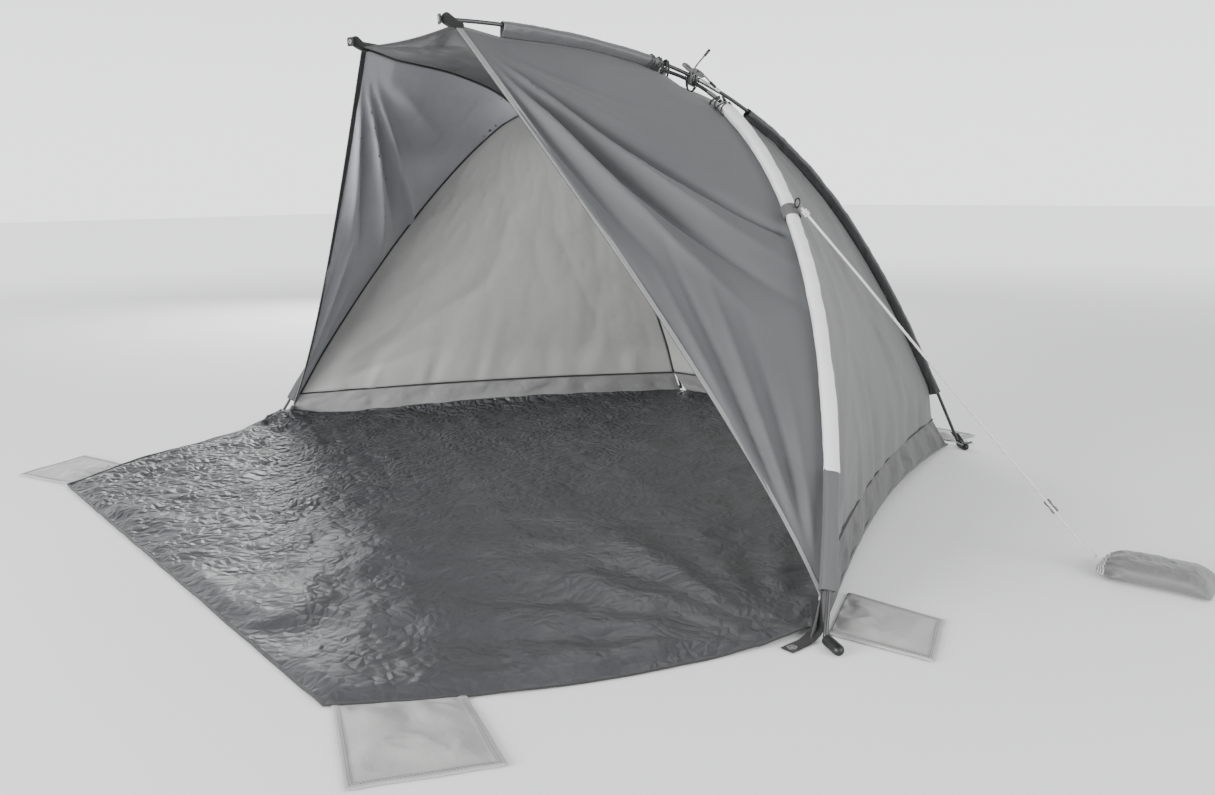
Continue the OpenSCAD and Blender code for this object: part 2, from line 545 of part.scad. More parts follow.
// the tip tab climbs from the canopy's corner in front of the tip cap, with an eyelet in it
tip_dir = -along("right", 0);
tip_front = tip + (face_gap + tip_cap_l + 3) * tip_dir;
tip_up = outward("right", 0);
module tip_tab() difference() {
    strip([tip_corner + 6 * tip_dir - 2 * tip_up, tip_front - 20 * tip_up, tip_front + 14 * tip_up],
        aside("right", 0), tab_w - 5, tab_t);
    translate(tip_front - 4 * tip_dir) rotate(turned(tip_dir)) cylinder(r = 4.6 + fit_gap, h = 12, $fn = 32);
}
module tip_tabs() color([0.1, 0.1, 0.1]) mirrored() tip_tab();
module tip_eyelet() translate(tip_front - 1.5 * tip_dir) rotate(turned(tip_dir))
    rotate_extrude($fn = 36) translate([3.2, 0]) square([1.3, 3.4]);
module tip_eyelets() color([0.75, 0.75, 0.76]) mirrored() tip_eyelet();

// ---- crossings ----
// turns of cord round each pole on both sides of the crossing, and the bow's loose end
tie_d = 3;
tie_gap = 0.8;
tie_ridge_mm = [-21, -10.5, 10.5];   // places of the turns along the ridge pole, from the crossing
tie_arch_mm = [-19, 19];             // and along the arch pole
module tie_turn(pole, s, length) {
    half = tie_d / 2 / length;
    r_in = pole_r + tie_gap;
    pipe([for (t = [s - half, s + half]) ring(pole, t, r_in + tie_d, r_in + tie_d, 8)],
        [for (t = [s - half, s + half]) ring(pole, t, r_in, r_in, 8)]);
}
module junction_tie() {
    for (x = tie_ridge_mm) tie_turn("right", cross_ridge + x / ridge_len, ridge_len);
    for (x = tie_arch_mm) tie_turn("arch", cross_arch + x / arch_len, arch_len);
}
module junction_ties() color([0.55, 0.55, 0.55]) mirrored() junction_tie();
// elastic loops that hold the canopy up to the poles beside each crossing
hook_d = 4;
hook_gap = 1.5;
module hook(pole, s, drop) {
    o = outward(pole, s);
    a = on(pole, s) - (pole_r + hook_gap) * o;
    b = on(pole, s) - (drop - cloth_t / 2 - hook_gap) * o;
    translate(b) rotate(turned(o)) cylinder(d = hook_d, h = norm(a - b), $fn = 16);
}
hook_arch_s = cross_arch - 0.022;
hook_ridge_s = [cross_ridge - 0.046, cross_ridge + 0.05];
module junction_hook() {
    hook("arch", hook_arch_s, arch_drop(hook_arch_s));
    for (s = hook_ridge_s) hook("right", s, ridge_drop(s));
}
module junction_hooks() color([0.12, 0.12, 0.12]) mirrored() junction_hook();

// ---- the model ----
arch_section(0);  // arch_section_1
arch_section(1);  // arch_section_2
arch_section(2);  // arch_section_3
arch_section(3);  // arch_section_4
arch_section(4);  // arch_section_5
arch_section(5);  // arch_section_6
ridge_section("right", 0);  // right_ridge_section_1
ridge_section("right", 1);  // right_ridge_section_2
ridge_section("right", 2);  // right_ridge_section_3
mirror([1, 0, 0]) ridge_section("right", 0);  // left_ridge_section_1
mirror([1, 0, 0]) ridge_section("right", 1);  // left_ridge_section_2
mirror([1, 0, 0]) ridge_section("right", 2);  // left_ridge_section_3
arch_ferrules();
ridge_ferrules("right");  // right_ridge_ferrules
mirror([1, 0, 0]) ridge_ferrules("right");  // left_ridge_ferrules
pole_shock_cord("arch", 40);  // arch_shock_cord
pole_shock_cord("right", 22);  // right_ridge_shock_cord
mirror([1, 0, 0]) pole_shock_cord("right", 22);  // left_ridge_shock_cord
front_foot_caps();
rear_foot_caps();
tip_caps();
arch_sleeve();  // arch_sleeve_right
mirror([1, 0, 0]) arch_sleeve();  // arch_sleeve_left
crown_sleeve();
front_sleeve();  // front_sleeve_right
mirror([1, 0, 0]) front_sleeve();  // front_sleeve_left
rear_sleeve();  // rear_sleeve_right
mirror([1, 0, 0]) rear_sleeve();  // rear_sleeve_left
roof_panel();
rear_panel();
front_panel();  // front_panel_right
mirror([1, 0, 0]) front_panel();  // front_panel_left
side_panel();  // side_panel_right
mirror([1, 0, 0]) side_panel();  // side_panel_left
hem_band_side();  // hem_band_right
mirror([1, 0, 0]) hem_band_side();  // hem_band_left
hem_band_rear();
floor_sheet();
porch_sheet();
porch_pocket();  // porch_pocket_right
mirror([1, 0, 0]) porch_pocket();  // porch_pocket_left
side_pocket();  // side_pocket_right
mirror([1, 0, 0]) side_pocket();  // side_pocket_left
rear_pocket();  // rear_pocket_right
mirror([1, 0, 0]) rear_pocket();  // rear_pocket_left
guy_loops();
guy_rings();
guy_cord();
guy_runner();
sand_bag();
front_foot_tabs();
rear_foot_tabs();
tip_tabs();
foot_eyelets();
tip_eyelets();
junction_ties();
junction_hooks();
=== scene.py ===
# Beach shelter on three flexible poles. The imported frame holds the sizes; this script sews the cloth,
# lays the cords and gives every piece its finish. Units are metres, +Y runs into the tent, Z is up.
import math

import bmesh
import bpy
import numpy as np
from mathutils import Matrix, Vector


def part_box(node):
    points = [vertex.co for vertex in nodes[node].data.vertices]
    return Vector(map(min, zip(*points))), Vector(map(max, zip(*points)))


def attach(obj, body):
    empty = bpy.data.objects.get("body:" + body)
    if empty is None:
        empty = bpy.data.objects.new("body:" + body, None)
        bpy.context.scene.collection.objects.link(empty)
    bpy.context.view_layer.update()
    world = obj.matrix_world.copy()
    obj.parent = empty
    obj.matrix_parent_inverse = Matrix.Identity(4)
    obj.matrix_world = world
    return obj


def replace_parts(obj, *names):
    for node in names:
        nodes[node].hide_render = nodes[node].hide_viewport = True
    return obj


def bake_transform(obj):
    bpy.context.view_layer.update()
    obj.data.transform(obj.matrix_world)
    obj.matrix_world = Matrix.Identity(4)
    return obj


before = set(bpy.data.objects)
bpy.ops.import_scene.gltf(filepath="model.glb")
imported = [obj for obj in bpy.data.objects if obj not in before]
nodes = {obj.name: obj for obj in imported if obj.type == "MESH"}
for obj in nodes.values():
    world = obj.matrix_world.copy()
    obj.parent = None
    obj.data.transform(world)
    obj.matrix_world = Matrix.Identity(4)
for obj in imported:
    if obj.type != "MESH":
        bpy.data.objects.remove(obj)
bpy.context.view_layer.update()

# driving sizes, the same as the frame's
tent = {
    "frontWidth": 2.2, "rearWidth": 1.118, "depth": 1.297,
    "crownHeight": 1.029, "crownBack": 0.473,
    "tipGap": 0.404, "tipHeight": 1.066, "tipForward": 0.096,
    "bandHeight": 0.092, "footHeight": 0.0097,
    "poleDiameter": 0.0085, "poleStack": 0.0111,
    "sleeveWidth": 0.030, "sleeveHeight": 0.017,
    "archCross": 0.368, "ridgeCross": 0.31,   # where the poles cross, as shares of their lengths
}
halfFront = tent["frontWidth"] / 2
halfRear = tent["rearWidth"] / 2
crownHeight = tent["crownHeight"]
crownBack = tent["crownBack"]
depth = tent["depth"]
frontFoot = np.array([halfFront, 0, tent["footHeight"]])
rearFoot = np.array([halfRear, depth, tent["footHeight"]])
ridgeTip = np.array([tent["tipGap"] / 2, -tent["tipForward"], tent["tipHeight"]])
archTop = np.array([0, crownBack, crownHeight])
heart = np.array([0, 0.4 * depth, 0.1 * crownHeight])   # the poles bulge away from this point
flipX = np.array([-1.0, 1.0, 1.0])
sides = (("right", np.ones(3)), ("left", flipX))


# ---------- small maths ----------
def unit(v):
    # each vector divided by its own length
    v = np.asarray(v, float)
    return v / np.maximum(np.linalg.norm(v, axis=-1, keepdims=True), 1e-12)


def mixUp(a, b, t):
    # straight blend from a at t = 0 to b at t = 1
    return a + (b - a) * t


def fade(x, start, end):
    # smooth step: 0 before start, 1 after end, 3t^2 - 2t^3 between
    t = np.clip((np.asarray(x, float) - start) / (end - start), 0, 1)
    return t * t * (3 - 2 * t)


def hump(x, middle, half):
    # squared cosine bump, 1 at the middle and 0 beyond half either side
    d = np.minimum(np.abs(np.asarray(x, float) - middle) / half, 1)
    return np.cos(math.pi / 2 * d) ** 2


def bezier(points, t):
    # Bernstein sum: control point i weighs C(n,i) t^i (1-t)^(n-i)
    p = np.asarray(points, float)
    n = len(p) - 1
    t = np.asarray(t, float)[..., None]
    return sum(math.comb(n, i) * t ** i * (1 - t) ** (n - i) * p[i] for i in range(n + 1))


def smoothPath(points, count):
    # Catmull-Rom curve through the points, resampled to even steps of length
    p = np.asarray(points, float)
    p = np.vstack([2 * p[0] - p[1], p, 2 * p[-1] - p[-2]])
    t = np.linspace(0, 1, 24, endpoint=False)[:, None]
    a, b, c, d = p[:-3], p[1:-2], p[2:-1], p[3:]
    parts = [0.5 * (2 * b[i] + (c[i] - a[i]) * t + (2 * a[i] - 5 * b[i] + 4 * c[i] - d[i]) * t ** 2
                    + (3 * b[i] - a[i] - 3 * c[i] + d[i]) * t ** 3) for i in range(len(a))]
    line = np.vstack(parts + [p[-2:-1]])
    run = np.concatenate([[0], np.cumsum(np.linalg.norm(np.diff(line, axis=0), axis=1))])
    even = np.linspace(0, run[-1], count)
    return np.stack([np.interp(even, run, line[:, k]) for k in range(3)], axis=1)


def latticeNoise(x, y, seed):
    # value noise: random heights -1..1 on a square lattice, blended by quintic steps
    table = np.random.RandomState(seed).uniform(-1, 1, (64, 64))
    xi, yi = np.floor(x).astype(int), np.floor(y).astype(int)
    fx, fy = x - xi, y - yi
    wx = fx ** 3 * (fx * (6 * fx - 15) + 10)
    wy = fy ** 3 * (fy * (6 * fy - 15) + 10)

    def corner(i, j):
        return table[(xi + i) % 64, (yi + j) % 64]
    low = mixUp(corner(0, 0), corner(1, 0), wx)
    high = mixUp(corner(0, 1), corner(1, 1), wx)
    return mixUp(low, high, wy)


def crumple(x, y, cell, seed, octaves=3):
    # ridged noise: 1 - |noise| folds to sharp crests; each octave is half as wide and half as high
    total = np.zeros_like(x)
    for k in range(octaves):
        f = 2 ** k / cell
        turn = 0.7 * k + 0.3
        a = (x * math.cos(turn) - y * math.sin(turn)) * f
        b = (x * math.sin(turn) + y * math.cos(turn)) * f
        total += (1 - 2 * np.abs(latticeNoise(a + 17.3 * k, b + 9.1 * k, seed + k))) / 2 ** k
    return total


# ---------- pole curves ----------
archControl = [
    frontFoot,
    np.array([0.848 * halfFront, 0.59 * crownBack, 0.52 * crownHeight]),
    np.array([0.58 * halfFront, 0.93 * crownBack, 0.861 * crownHeight]),
    np.array([0.29 * halfFront, crownBack, crownHeight]),
    archTop,
]
archCross = tent["archCross"]
ridgeCross = tent["ridgeCross"]


def archPole(s):
    # half curve from the right foot to the crown, mirrored past s = 0.5
    s = np.asarray(s, float)
    p = bezier(archControl, 2 * np.minimum(s, 1 - s))
    p[..., 0] *= np.where(s > 0.5, -1, 1)
    return p


crossLow = archPole(archCross)
crossPoint = crossLow + tent["poleStack"] * unit(crossLow - heart)
crossDirection = unit([0.19, 0.92, -0.35])
rearRun = depth - crossPoint[1]
ridgeFront = [ridgeTip, ridgeTip + [0.060, 0.215, -0.002], crossPoint - 0.129 * crossDirection, crossPoint]
ridgeRear = [crossPoint, crossPoint + 0.56 * rearRun * crossDirection,
             rearFoot + [-0.053, -0.227 * rearRun, 0.345 * crownHeight], rearFoot]


def ridgePole(s):
    # two cubic curves that meet at the crossing
    s = np.asarray(s, float)
    a = bezier(ridgeFront, np.minimum(s / ridgeCross, 1))
    b = bezier(ridgeRear, np.maximum((s - ridgeCross) / (1 - ridgeCross), 0))
    return np.where((s <= ridgeCross)[..., None], a, b)


def poleAxes(pole, s):
    # along, sideways and outward unit vectors of a pole at s
    s = np.asarray(s, float)
    along = unit(pole(np.minimum(s + 0.002, 1)) - pole(np.maximum(s - 0.002, 0)))
    side = unit(np.cross(along, pole(s) - heart))
    return along, side, np.cross(side, along)


clothSeat = 0.0174     # from a pole's centre to the cloth under its sleeve
crossGap = 0.009       # more at the crossings, where the poles stand free


def archDrop(s):
    t = np.minimum(s, 1 - s)
    return clothSeat + crossGap * hump(t, archCross, 0.04) + 0.006 * (1 - fade(t, 0.02, 0.06))


def ridgeDrop(s):
    # near the tip the cloth runs straight from the cap to the sleeve, so the pole stands off it
    tipGap = 0.0075 * fade(s, 0.0, 0.055) * (1 - fade(s, 0.06, 0.16)) - 0.0085 * (1 - np.clip(s / 0.05, 0, 1))
    return (clothSeat + tent["poleStack"] * hump(s, ridgeCross, 0.1) + crossGap * hump(s, ridgeCross, 0.06)
            + 0.026 * fade(s, 0.88, 0.95) + tipGap)


def underArch(s):
    # the seam line below the arch pole: the pole's point moved inwards by the drop
    s = np.asarray(s, float)
    return archPole(s) - archDrop(s)[..., None] * poleAxes(archPole, s)[2]


def underRidge(s):
    s = np.asarray(s, float)
    return ridgePole(s) - ridgeDrop(s)[..., None] * poleAxes(ridgePole, s)[2]


def shareAtHeight(pole, height, start, end):
    # where a falling or rising leg of a pole stands at a height
    s = np.linspace(start, end, 600)
    z = pole(s)[:, 2]
    order = np.argsort(z)
    return float(np.interp(height, z[order], s[order]))


bandTop = tent["bandHeight"] + 0.010
archLeg = shareAtHeight(archPole, bandTop, 0, 0.3)
ridgeLeg = shareAtHeight(ridgePole, bandTop, 0.6, 1)
cornerShare = shareAtHeight(archPole, 0.070, 0, 0.3)
tipShare = 0.004
footCorner = underArch(cornerShare)
tipCorner = underRidge(tipShare)
frontEdge = [tipCorner, np.array([0.796 * halfFront, 0.065, 0.3 * crownHeight]), footCorner]


# ---------- meshes ----------
def addMesh(name, points, faces, uv=None):
    # one mesh object at the origin from whole arrays of points and of three- or four-sided faces
    points = np.asarray(points, np.float32).reshape(-1, 3)
    faces = np.asarray(faces, np.int32)
    mesh = bpy.data.meshes.new(name)
    mesh.vertices.add(len(points))
    mesh.vertices.foreach_set("co", points.ravel())
    mesh.loops.add(faces.size)
    mesh.loops.foreach_set("vertex_index", faces.ravel())
    mesh.polygons.add(len(faces))
    mesh.polygons.foreach_set("loop_start", np.arange(0, faces.size, faces.shape[1], dtype=np.int32))
    if uv is not None:
        layer = mesh.uv_layers.new(name="cloth")
        layer.data.foreach_set("uv", np.asarray(uv, np.float32).reshape(-1, 2)[faces.ravel()].ravel())
    mesh.update(calc_edges=True)
    mesh.validate()
    mesh.polygons.foreach_set("use_smooth", np.full(len(mesh.polygons), True))
    piece = bpy.data.objects.new(name, mesh)
    bpy.context.scene.collection.objects.link(piece)
    return piece


def gridFaces(m, n, wrap=False):
    # four-sided faces of an m by n grid; wrap joins the last column to the first
    i, j = np.meshgrid(np.arange(m - 1), np.arange(n if wrap else n - 1), indexing="ij")
    k = (j + 1) % n
    return np.stack([i * n + j, i * n + k, (i + 1) * n + k, (i + 1) * n + j], axis=-1).reshape(-1, 4)


def gridRuns(points):
    # arc lengths along the middle column and the middle row of a grid
    m, n = points.shape[:2]
    down = np.linalg.norm(np.diff(points[:, n // 2], axis=0), axis=1)
    across = np.linalg.norm(np.diff(points[m // 2], axis=0), axis=1)
    return np.concatenate([[0], np.cumsum(down)]), np.concatenate([[0], np.cumsum(across)])


def gridNormals(points):
    # cross product of the differences along the two directions
    return unit(np.cross(np.gradient(points, axis=0), np.gradient(points, axis=1)))


def outwardNormals(points, hint):
    # normals turned to the side that the hint points to
    normal = gridNormals(points)
    return normal * np.sign((normal * hint).sum(-1).mean())


def clothSheet(name, points, thickness, outer, inner, insideSpot):
    # a grid of points as cloth: Solidify gives it two faces, and the one towards insideSpot
    # has the inner finish
    down, across = gridRuns(points)
    uv = np.stack(np.meshgrid(down, across, indexing="ij"), axis=-1)
    faces = gridFaces(*points.shape[:2])
    middle = (points.shape[0] // 2, points.shape[1] // 2)
    if gridNormals(points)[middle] @ (np.asarray(insideSpot, float) - points[middle]) < 0:
        faces = faces[:, ::-1]
    piece = addMesh(name, points, faces, uv)
    piece.data.materials.append(outer)
    piece.data.materials.append(inner)
    thicken(piece, thickness, 0, 1)
    return piece


def thicken(piece, thickness, offset, innerSlot=0):
    # Solidify, then the evaluated mesh takes the place of the base mesh
    solid = piece.modifiers.new("thickness", "SOLIDIFY")
    solid.thickness = thickness
    solid.offset = offset
    solid.material_offset = innerSlot
    shaped = bpy.data.meshes.new_from_object(piece.evaluated_get(bpy.context.evaluated_depsgraph_get()))
    piece.modifiers.clear()
    piece.data = shaped


def carry(name, path, side, up, profile, material, caps=True):
    # a profile of (side, up) offsets carried along a path; each may change along the path
    path, side, up = (np.asarray(a, float) for a in (path, side, up))
    profile = np.asarray(profile, float)
    if profile.ndim == 2:
        profile = np.broadcast_to(profile, (len(path),) + profile.shape)
    points = path[:, None] + profile[..., :1] * side[:, None] + profile[..., 1:] * up[:, None]
    m, n = points.shape[:2]
    faces = gridFaces(m, n, True)
    run = np.concatenate([[0], np.cumsum(np.linalg.norm(np.diff(path, axis=0), axis=1))])
    edge = np.concatenate([[0], np.cumsum(np.linalg.norm(np.diff(profile[m // 2], axis=0), axis=1))])
    uv = np.stack(np.meshgrid(run, edge, indexing="ij"), axis=-1)
    if caps:
        points = np.concatenate([points.reshape(-1, 3), points[:1].mean(axis=1), points[-1:].mean(axis=1)])
        uv = np.concatenate([uv.reshape(-1, 2), [[0, 0]], [[run[-1], 0]]])
        j = np.arange(n)
        k = (j + 1) % n
        first = np.stack([np.full(n, m * n), k, j, j], axis=1)
        last = np.stack([np.full(n, m * n + 1), (m - 1) * n + j, (m - 1) * n + k, (m - 1) * n + k], axis=1)
        piece = addMeshMixed(name, points, faces, np.concatenate([first, last])[:, :3], uv)
    else:
        piece = addMesh(name, points, faces, uv)
    recalculate(piece)
    piece.data.materials.append(material)
    return piece


def addMeshMixed(name, points, quads, triangles, uv):
    # a mesh of quads and triangles together
    mesh = bpy.data.meshes.new(name)
    mesh.from_pydata(np.asarray(points).reshape(-1, 3).tolist(), [], quads.tolist() + triangles.tolist())
    layer = mesh.uv_layers.new(name="cloth")
    corner = np.empty(len(mesh.loops), np.int32)
    mesh.loops.foreach_get("vertex_index", corner)
    layer.data.foreach_set("uv", np.asarray(uv, np.float32)[corner].ravel())
    mesh.polygons.foreach_set("use_smooth", np.full(len(mesh.polygons), True))
    mesh.update()
    piece = bpy.data.objects.new(name, mesh)
    bpy.context.scene.collection.objects.link(piece)
    return piece


def recalculate(piece):
    # normals of a closed piece turned outwards
    shape = bmesh.new()
    shape.from_mesh(piece.data)
    bmesh.ops.recalc_face_normals(shape, faces=shape.faces)
    shape.to_mesh(piece.data)
    shape.free()


def turnAxes(path, hint=(0, 0, 1)):
    # sideways and upward vectors of a free path, from one hint of where up is
    along = unit(np.gradient(np.asarray(path, float), axis=0))
    side = unit(np.cross(along, np.broadcast_to(np.asarray(hint, float), along.shape)))
    return side, np.cross(side, along)


def roundProfile(radius, count=12):
    a = np.arange(count) / count * 2 * math.pi
    return radius * np.stack([np.cos(a), np.sin(a)], axis=1)


def tapeProfile(width, thick, corner=3):
    # flat tape with half-round edges
    a = np.linspace(-math.pi / 2, math.pi / 2, corner + 2)
    r = thick / 2
    right = np.stack([width / 2 - r + r * np.cos(a), r * np.sin(a)], axis=1)
    middle = np.stack([np.linspace(0.5, -0.5, 5)[1:-1] * width, np.full(3, r)], axis=1)
    return np.concatenate([right, middle, -right, -middle])


def rope(name, points, diameter, material, count=40, sides=10):
    path = smoothPath(points, count)
    side, up = turnAxes(path, (0.31, 0.17, 0.94))
    return carry(name, path, side, up, roundProfile(diameter / 2, sides), material)


def mergeInto(name, pieces):
    # several pieces joined into one object
    bpy.ops.object.select_all(action="DESELECT")
    for p in pieces:
        p.select_set(True)
    bpy.context.view_layer.objects.active = pieces[0]
    bpy.ops.object.join()
    pieces[0].name = name
    pieces[0].data.name = name
    return pieces[0]


def bothSides(build):
    # the same builder for the right side and for the left
    return [build(side, flip) for side, flip in sides]


# ---------- finishes ----------
def newMaterial(name):
    material = bpy.data.materials.new(name)
    material.use_nodes = True
    tree = material.node_tree
    return material, tree, tree.nodes["Principled BSDF"]


def grey(value, warm=0.0):
    # display grey 0..1 to linear colour; warm above 0 leans to yellow and below 0 to blue
    tone = np.clip(np.array([value + warm, value + 0.35 * warm, value - warm]), 0, 1)
    linear = np.where(tone <= 0.04045, tone / 12.92, ((tone + 0.055) / 1.055) ** 2.4)
    return (*linear.tolist(), 1.0)


def node(tree, kind, spaced=None, **settings):
    # a shader node: each setting is a property, an input's value or the output that feeds the input;
    # inputs with a space in their name come in the spaced dictionary
    made = tree.nodes.new(kind)
    for key, value in {**settings, **(spaced or {})}.items():
        if key not in made.inputs:
            setattr(made, key, value)
        elif isinstance(value, bpy.types.NodeSocket):
            tree.links.new(value, made.inputs[key])
        else:
            made.inputs[key].default_value = value
    return made


def mathNode(tree, operation, a, b):
    made = tree.nodes.new("ShaderNodeMath")
    made.operation = operation
    for slot, value in zip(made.inputs, (a, b)):
        if isinstance(value, (int, float)):
            slot.default_value = value
        else:
            tree.links.new(value, slot)
    return made.outputs[0]


def weighted(tree, *parts):
    # sum of outputs, each times its own weight
    total = None
    for output, weight in parts:
        scaled = mathNode(tree, "MULTIPLY", output, weight)
        total = scaled if total is None else mathNode(tree, "ADD", total, scaled)
    return total


def colourBetween(tree, shader, dark, light, factor):
    mix = node(tree, "ShaderNodeMix", data_type="RGBA", A=dark, B=light, Factor=factor)
    tree.links.new(mix.outputs["Result"], shader.inputs["Base Color"])


def roughBetween(tree, shader, rough, factor):
    shine = node(tree, "ShaderNodeMapRange", {"To Min": rough[0], "To Max": rough[1]}, Value=factor)
    tree.links.new(shine.outputs["Result"], shader.inputs["Roughness"])


def addBump(tree, shader, height, strength, distance, under=None):
    bump = node(tree, "ShaderNodeBump", Strength=strength, Distance=distance, Height=height)
    if under:
        tree.links.new(under, bump.inputs["Normal"])
    tree.links.new(bump.outputs["Normal"], shader.inputs["Normal"])


def clothFinish(name, dark, light, **look):
    # woven cloth: two crossed thread waves on the sheet's own map, soft creases and tone drift in space
    material, tree, shader = newMaterial(name)
    space = node(tree, "ShaderNodeTexCoord").outputs
    drift = node(tree, "ShaderNodeTexNoise", Vector=space["Object"], Scale=3.0, Detail=3.0, Roughness=0.6)
    fine = node(tree, "ShaderNodeTexNoise", Vector=space["Object"], Scale=420.0, Detail=2.0)
    tone = weighted(tree, (drift.outputs["Fac"], 0.5), (fine.outputs["Fac"], look.get("fleck", 0.35)))
    colourBetween(tree, shader, dark, light, tone)
    threads = [node(tree, "ShaderNodeTexWave", wave_type="BANDS", bands_direction=direction,
                    Vector=space["UV"], Scale=look.get("threads", 350.0)).outputs["Fac"]
               for direction in ("X", "Y")]
    creases = node(tree, "ShaderNodeTexNoise", Vector=space["Object"], Scale=look.get("creaseScale", 16.0),
                   Detail=3.0, Roughness=0.55)
    soft = node(tree, "ShaderNodeBump", Strength=look.get("crease", 0.25), Distance=0.006,
                Height=creases.outputs["Fac"])
    addBump(tree, shader, mathNode(tree, "MULTIPLY", *threads), look.get("weave", 0.25), 0.0003,
            soft.outputs["Normal"])
    shader.inputs["Roughness"].default_value = look.get("rough", 0.62)
    shader.inputs["Specular IOR Level"].default_value = look.get("gloss", 0.35)
    shader.inputs["Sheen Weight"].default_value = 0.15
    shader.inputs["Sheen Roughness"].default_value = 0.5
    return material


def sheetFinish(name, dark, light, rough, gloss):
    # crinkled laminate: facets at two sizes, broad soft folds and a fine ridged grain
    material, tree, shader = newMaterial(name)
    space = node(tree, "ShaderNodeTexCoord").outputs
    warp = node(tree, "ShaderNodeTexNoise", Vector=space["Object"], Scale=5.0, Detail=2.0)
    bend = node(tree, "ShaderNodeVectorMath", operation="SCALE", Scale=0.12)
    tree.links.new(warp.outputs["Color"], bend.inputs[0])
    moved = node(tree, "ShaderNodeVectorMath", operation="ADD")
    tree.links.new(space["Object"], moved.inputs[0])
    tree.links.new(bend.outputs["Vector"], moved.inputs[1])
    moved = moved.outputs["Vector"]
    facets = weighted(tree, *((node(tree, "ShaderNodeTexVoronoi", feature="DISTANCE_TO_EDGE", Scale=scale,
                                    Randomness=1.0, Vector=moved).outputs["Distance"], weight)
                              for scale, weight in ((17.0, 2.4), (42.0, 2.0))))
    fine = node(tree, "ShaderNodeTexNoise", noise_type="RIDGED_MULTIFRACTAL", Scale=11.0, Detail=4.0,
                Vector=moved).outputs["Fac"]
    # the left half lies loosest and is crinkled most: the facets fade in along X
    place = node(tree, "ShaderNodeSeparateXYZ", Vector=space["Object"])
    loose = node(tree, "ShaderNodeMapRange",
                 {"From Min": 0.35, "From Max": -0.75, "To Min": 0.16, "To Max": 1.0},
                 interpolation_type="SMOOTHSTEP", Value=place.outputs["X"])
    facets = mathNode(tree, "MULTIPLY", facets, loose.outputs["Result"])
    broad = node(tree, "ShaderNodeTexNoise", Vector=space["Object"], Scale=6.5, Detail=3.0, Roughness=0.5,
                 Distortion=1.2)
    folds = mathNode(tree, "ADD", facets, weighted(tree, (broad.outputs["Fac"], 1.3), (fine, 0.10)))
    addBump(tree, shader, folds, 0.8, 0.010)
    colourBetween(tree, shader, dark, light, mathNode(tree, "MULTIPLY", fine, 0.45))
    roughBetween(tree, shader, rough, warp.outputs["Fac"])
    shader.inputs["Specular IOR Level"].default_value = gloss
    return material


def cordFinish(name, dark, light, braid=160.0, rough=0.75):
    # braid: two slanted waves on the cord's own map, across and along
    material, tree, shader = newMaterial(name)
    space = node(tree, "ShaderNodeTexCoord").outputs
    bands = []
    for slant in (0.6, -0.6):
        turned = node(tree, "ShaderNodeMapping", Vector=space["UV"], Rotation=(0, 0, slant))
        bands.append(node(tree, "ShaderNodeTexWave", bands_direction="X", Scale=braid,
                          Vector=turned.outputs["Vector"]).outputs["Fac"])
    crossed = mathNode(tree, "MULTIPLY", *bands)
    colourBetween(tree, shader, dark, light, crossed)
    addBump(tree, shader, crossed, 0.5, 0.0005)
    shader.inputs["Roughness"].default_value = rough
    shader.inputs["Sheen Weight"].default_value = 0.2
    return material


def hardFinish(name, dark, light, rough, grain=900.0, stretch=(1, 1, 1), metal=0.0):
    # moulded plastic, fibreglass or metal: fine grain in space, scuffed where the noise is high
    material, tree, shader = newMaterial(name)
    space = node(tree, "ShaderNodeTexCoord").outputs
    stretched = node(tree, "ShaderNodeMapping", Vector=space["Object"], Scale=stretch)
    grains = node(tree, "ShaderNodeTexNoise", Vector=stretched.outputs["Vector"], Scale=grain, Detail=2.0)
    scuff = node(tree, "ShaderNodeTexNoise", Vector=space["Object"], Scale=55.0, Detail=4.0, Roughness=0.7)
    colourBetween(tree, shader, dark, light, scuff.outputs["Fac"])
    roughBetween(tree, shader, rough, scuff.outputs["Fac"])
    addBump(tree, shader, grains.outputs["Fac"], 0.2, 0.0002)
    shader.inputs["Metallic"].default_value = metal
    return material


frontOut = clothFinish("frontClothOutside", grey(0.27, -0.006), grey(0.34, -0.004), crease=0.22)
# inner face of the front panels: the coated side's own tone, made much lighter with painted light that stands
# in for daylight coming through the cloth
frontInCoatPaintedLight = clothFinish("frontClothCoatedInsidePaintedLight", grey(0.60, -0.012), grey(0.69, -0.010), crease=0.22)
roofIn = clothFinish("roofClothInside", grey(0.22, -0.008), grey(0.27, -0.006), crease=0.22)
roofOut = clothFinish("roofCloth", grey(0.26, -0.010), grey(0.33, -0.008), crease=0.2)
sideOut = clothFinish("sideClothOutside", grey(0.29), grey(0.35), crease=0.2)
# inner face of the side and rear panels: coated cloth, lightened with painted light that stands in for
# daylight coming through the cloth
sideInCoatPaintedLight = clothFinish("sideClothCoatedInsidePaintedLight", grey(0.56, 0.004), grey(0.64, 0.004), crease=0.3, rough=0.5)
bandOut = clothFinish("hemBandCloth", grey(0.23), grey(0.29), crease=0.35, creaseScale=26.0)
